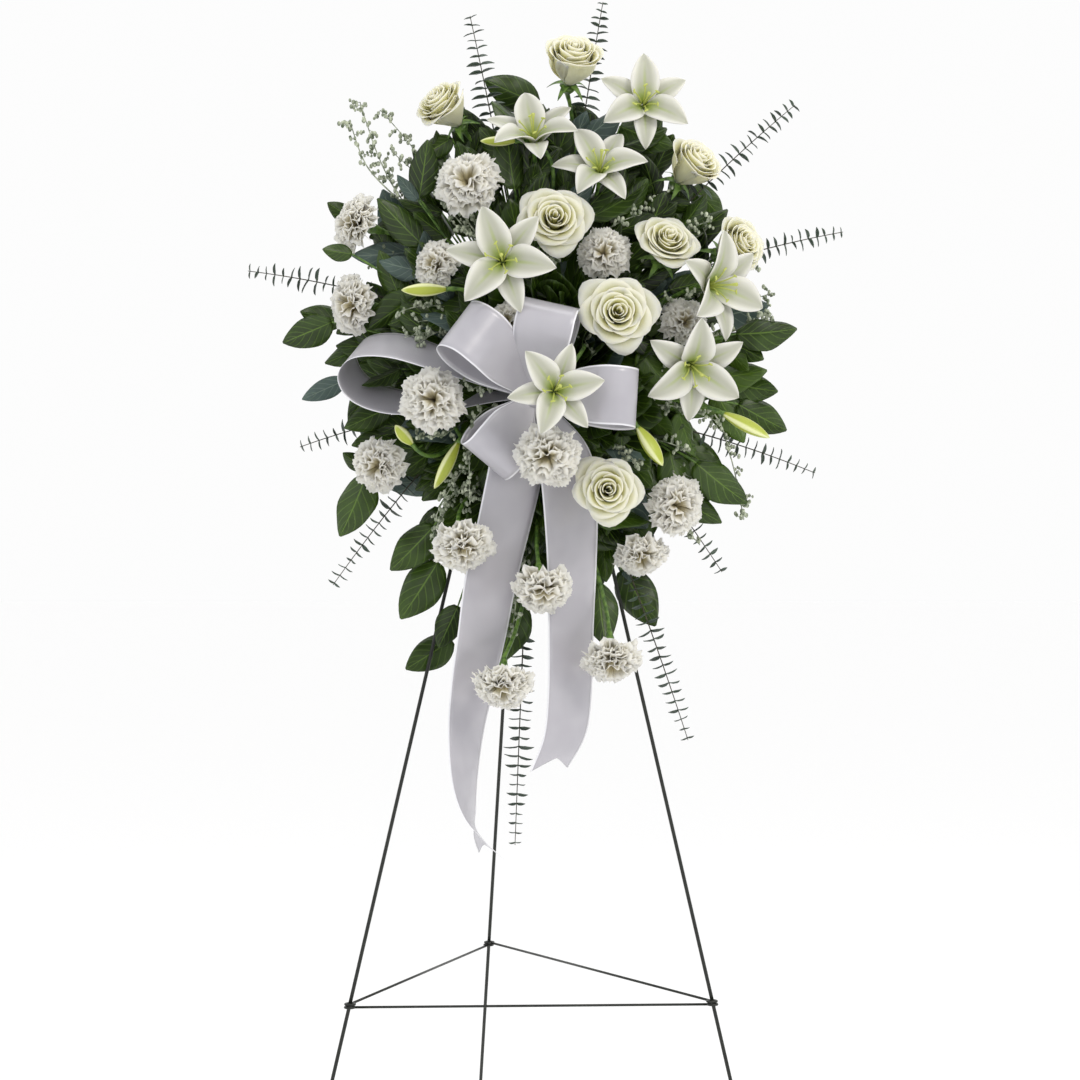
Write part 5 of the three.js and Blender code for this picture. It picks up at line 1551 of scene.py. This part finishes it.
class SPRAY_OT_seeds(bpy.types.Operator):
    """Thin branching strings of seeded eucalyptus"""

    bl_idname = "spray.seeds"
    bl_label = "Seeded eucalyptus"

    def execute(self, context):
        seed = stem_streaked("eucalyptus seed, waxy", SEED, SEED_LIGHT, 0.55)
        draw = random.Random(31)
        tree = solid_tree([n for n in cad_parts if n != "greenery" and "seeded" not in n])
        for name, (out, strings) in SEED_SPRAYS.items():
            bm = bmesh.new()
            root_pixel = strings[0][0]
            for points in strings:
                stations = [seen(p, ROOT_OUT if p == root_pixel else out) for p in points]
                line = [smooth_curve(stations, t / STRING_STEPS) for t in range(STRING_STEPS + 1)]
                self.seeded_string(bm, line, 1.2, draw, tree)
            new_piece(name + "_strings", bm, seed, [name])
        bm = bmesh.new()
        for root, tip, out in SHORT_STRINGS:
            for attempt in range(STRING_TRIES):
                stray = scattered(draw) * (attempt * STRAY_STEP * MM)
                start = mat_point(seen(root, 40) + stray, EDGE_DEPTH)
                end = seen(tip, out) + stray * 0.4
                knee = start.lerp(end, 0.6) + Vector((0, -0.01, 0.02)) + stray
                line = bent_line(start, knee, end, STRING_STEPS)
                if not line_crosses(tree, line[3:]):
                    self.seeded_string(bm, line, 1.1, draw, tree)
                    break
        new_piece("short_seed_strings", bm, seed, [])
        return {"FINISHED"}

    def seeded_string(self, bm, line, radius, draw, tree):
        """A thinning string, with side threads of seeds along its outer two thirds, where there is
        room."""
        add_tube(bm, line, [radius - 0.03 * t for t in range(STRING_STEPS + 1)], 5)
        total = length_of(line) / MM
        for k in range(int(total * 0.7 / SEED_SPACING)):
            s = (1 - (k * SEED_SPACING + 1) / total) * STRING_STEPS
            i = min(int(s), STRING_STEPS - 1)
            at = line[i].lerp(line[i + 1], s - i)
            way = Vector((draw.uniform(-1, 1), draw.uniform(-0.8, 0.6), draw.uniform(-0.7, 1)))
            end = at + way.normalized() * (draw.uniform(6, 15) * MM)
            if clearance(tree, end) < SEED_ROOM or line_crosses(tree, [at, end]):
                continue
            part = bmesh.new()
            for share in SEED_SHARES:
                spot = at.lerp(end, share) + scattered(draw, 1.8) * MM
                bmesh.ops.create_uvsphere(
                    part, u_segments=6, v_segments=4, radius=draw.uniform(1.5, 2.6) * MM,
                    matrix=Matrix.Translation(spot) @ Matrix.Diagonal((1, 1, 1.25, 1)))
            join_part(bm, part)
            add_tube(bm, [at, at.lerp(end, 0.5), end], [0.5, 0.45, 0.4], 4)


# Stage

# Name, place and size in metres, power in watts, colour
LAMPS = (
    ("key softbox", (1.9, -2.3, 2.9), 1.1, 34, "#fffaf2"),
    ("fill softbox", (-2.4, -2.2, 1.8), 1.8, 7, "#f4f8ff"),
    ("top softbox", (0.3, 0.4, 3.4), 1.6, 12, "#ffffff"),
)
LIT_PLACE = Vector((0, -0.15, 1.05))
WORLD_LIGHT = 0.98
FLOOR_REACH = 40


class SPRAY_OT_stage(bpy.types.Operator):
    """A pale floor, soft studio light and the camera of the front view"""

    bl_idname = "spray.stage"
    bl_label = "Stage"

    def execute(self, context):
        scene = context.scene
        bm = bmesh.new()
        bmesh.ops.create_grid(bm, x_segments=4, y_segments=4, size=FLOOR_REACH)
        mesh = bpy.data.meshes.new("floor")
        bm.to_mesh(mesh)
        bm.free()
        floor = bpy.data.objects.new("floor", mesh)
        scene.collection.objects.link(floor)
        mesh.materials.append(floor_painted(scene.spray.support.floor))

        world = bpy.data.worlds.new("studio")
        world.use_nodes = True
        background = world.node_tree.nodes["Background"].inputs
        background["Color"].default_value = rgba("#ffffff")
        background["Strength"].default_value = WORLD_LIGHT
        scene.world = world

        for name, place, size, power, colour in LAMPS:
            data = bpy.data.lights.new(name, "AREA")
            data.size = size
            data.energy = power
            data.color = linear(colour)
            lamp = bpy.data.objects.new(name, data)
            lamp.location = place
            way = LIT_PLACE - Vector(place)
            lamp.rotation_euler = way.to_track_quat("-Z", "Y").to_euler()
            scene.collection.objects.link(lamp)

        data = bpy.data.cameras.new("front view")
        data.angle = 2 * math.atan(VIEW_MIDDLE * MM_PER_PIXEL / VIEW_DISTANCE)
        camera = bpy.data.objects.new("front view", data)
        camera.location = moved(0, -VIEW_DISTANCE, VIEW_HEIGHT)
        camera.rotation_euler = (math.pi / 2, 0, 0)
        scene.collection.objects.link(camera)
        scene.camera = camera
        scene.view_settings.view_transform = "Standard"
        return {"FINISHED"}


class SPRAY_PT_panel(bpy.types.Panel):
    """Lists what the spray is made of"""

    bl_idname = "SPRAY_PT_panel"
    bl_label = "Standing spray"
    bl_space_type = "VIEW_3D"
    bl_region_type = "UI"
    bl_category = "Spray"

    def draw(self, context):
        settings = context.scene.spray
        for operator in OPERATORS:
            self.layout.operator(operator.bl_idname)
        for group in (settings.flowers, settings.greens, settings.support):
            for name in group.__annotations__:
                self.layout.prop(group, name)


OPERATORS = (
    SPRAY_OT_easel, SPRAY_OT_foam, SPRAY_OT_roses, SPRAY_OT_carnations, SPRAY_OT_lilies,
    SPRAY_OT_buds, SPRAY_OT_bow, SPRAY_OT_greens, SPRAY_OT_sprigs, SPRAY_OT_seeds, SPRAY_OT_stage,
)
CLASSES = (
    FlowerSettings, GreenSettings, SupportSettings, SpraySettings, *OPERATORS, SPRAY_PT_panel,
)


def register():
    for made in CLASSES:
        bpy.utils.register_class(made)
    bpy.types.Scene.spray = PointerProperty(type=SpraySettings)


def unregister():
    del bpy.types.Scene.spray
    for made in reversed(CLASSES):
        bpy.utils.unregister_class(made)


def main():
    register()
    bpy.ops.spray.easel()
    bpy.ops.spray.foam()
    bpy.ops.spray.roses()
    bpy.ops.spray.carnations()
    bpy.ops.spray.lilies()
    bpy.ops.spray.buds()
    bpy.ops.spray.bow()
    bpy.ops.spray.greens()
    bpy.ops.spray.sprigs()
    bpy.ops.spray.seeds()
    bpy.ops.spray.stage()


if __name__ == "__main__":
    main()
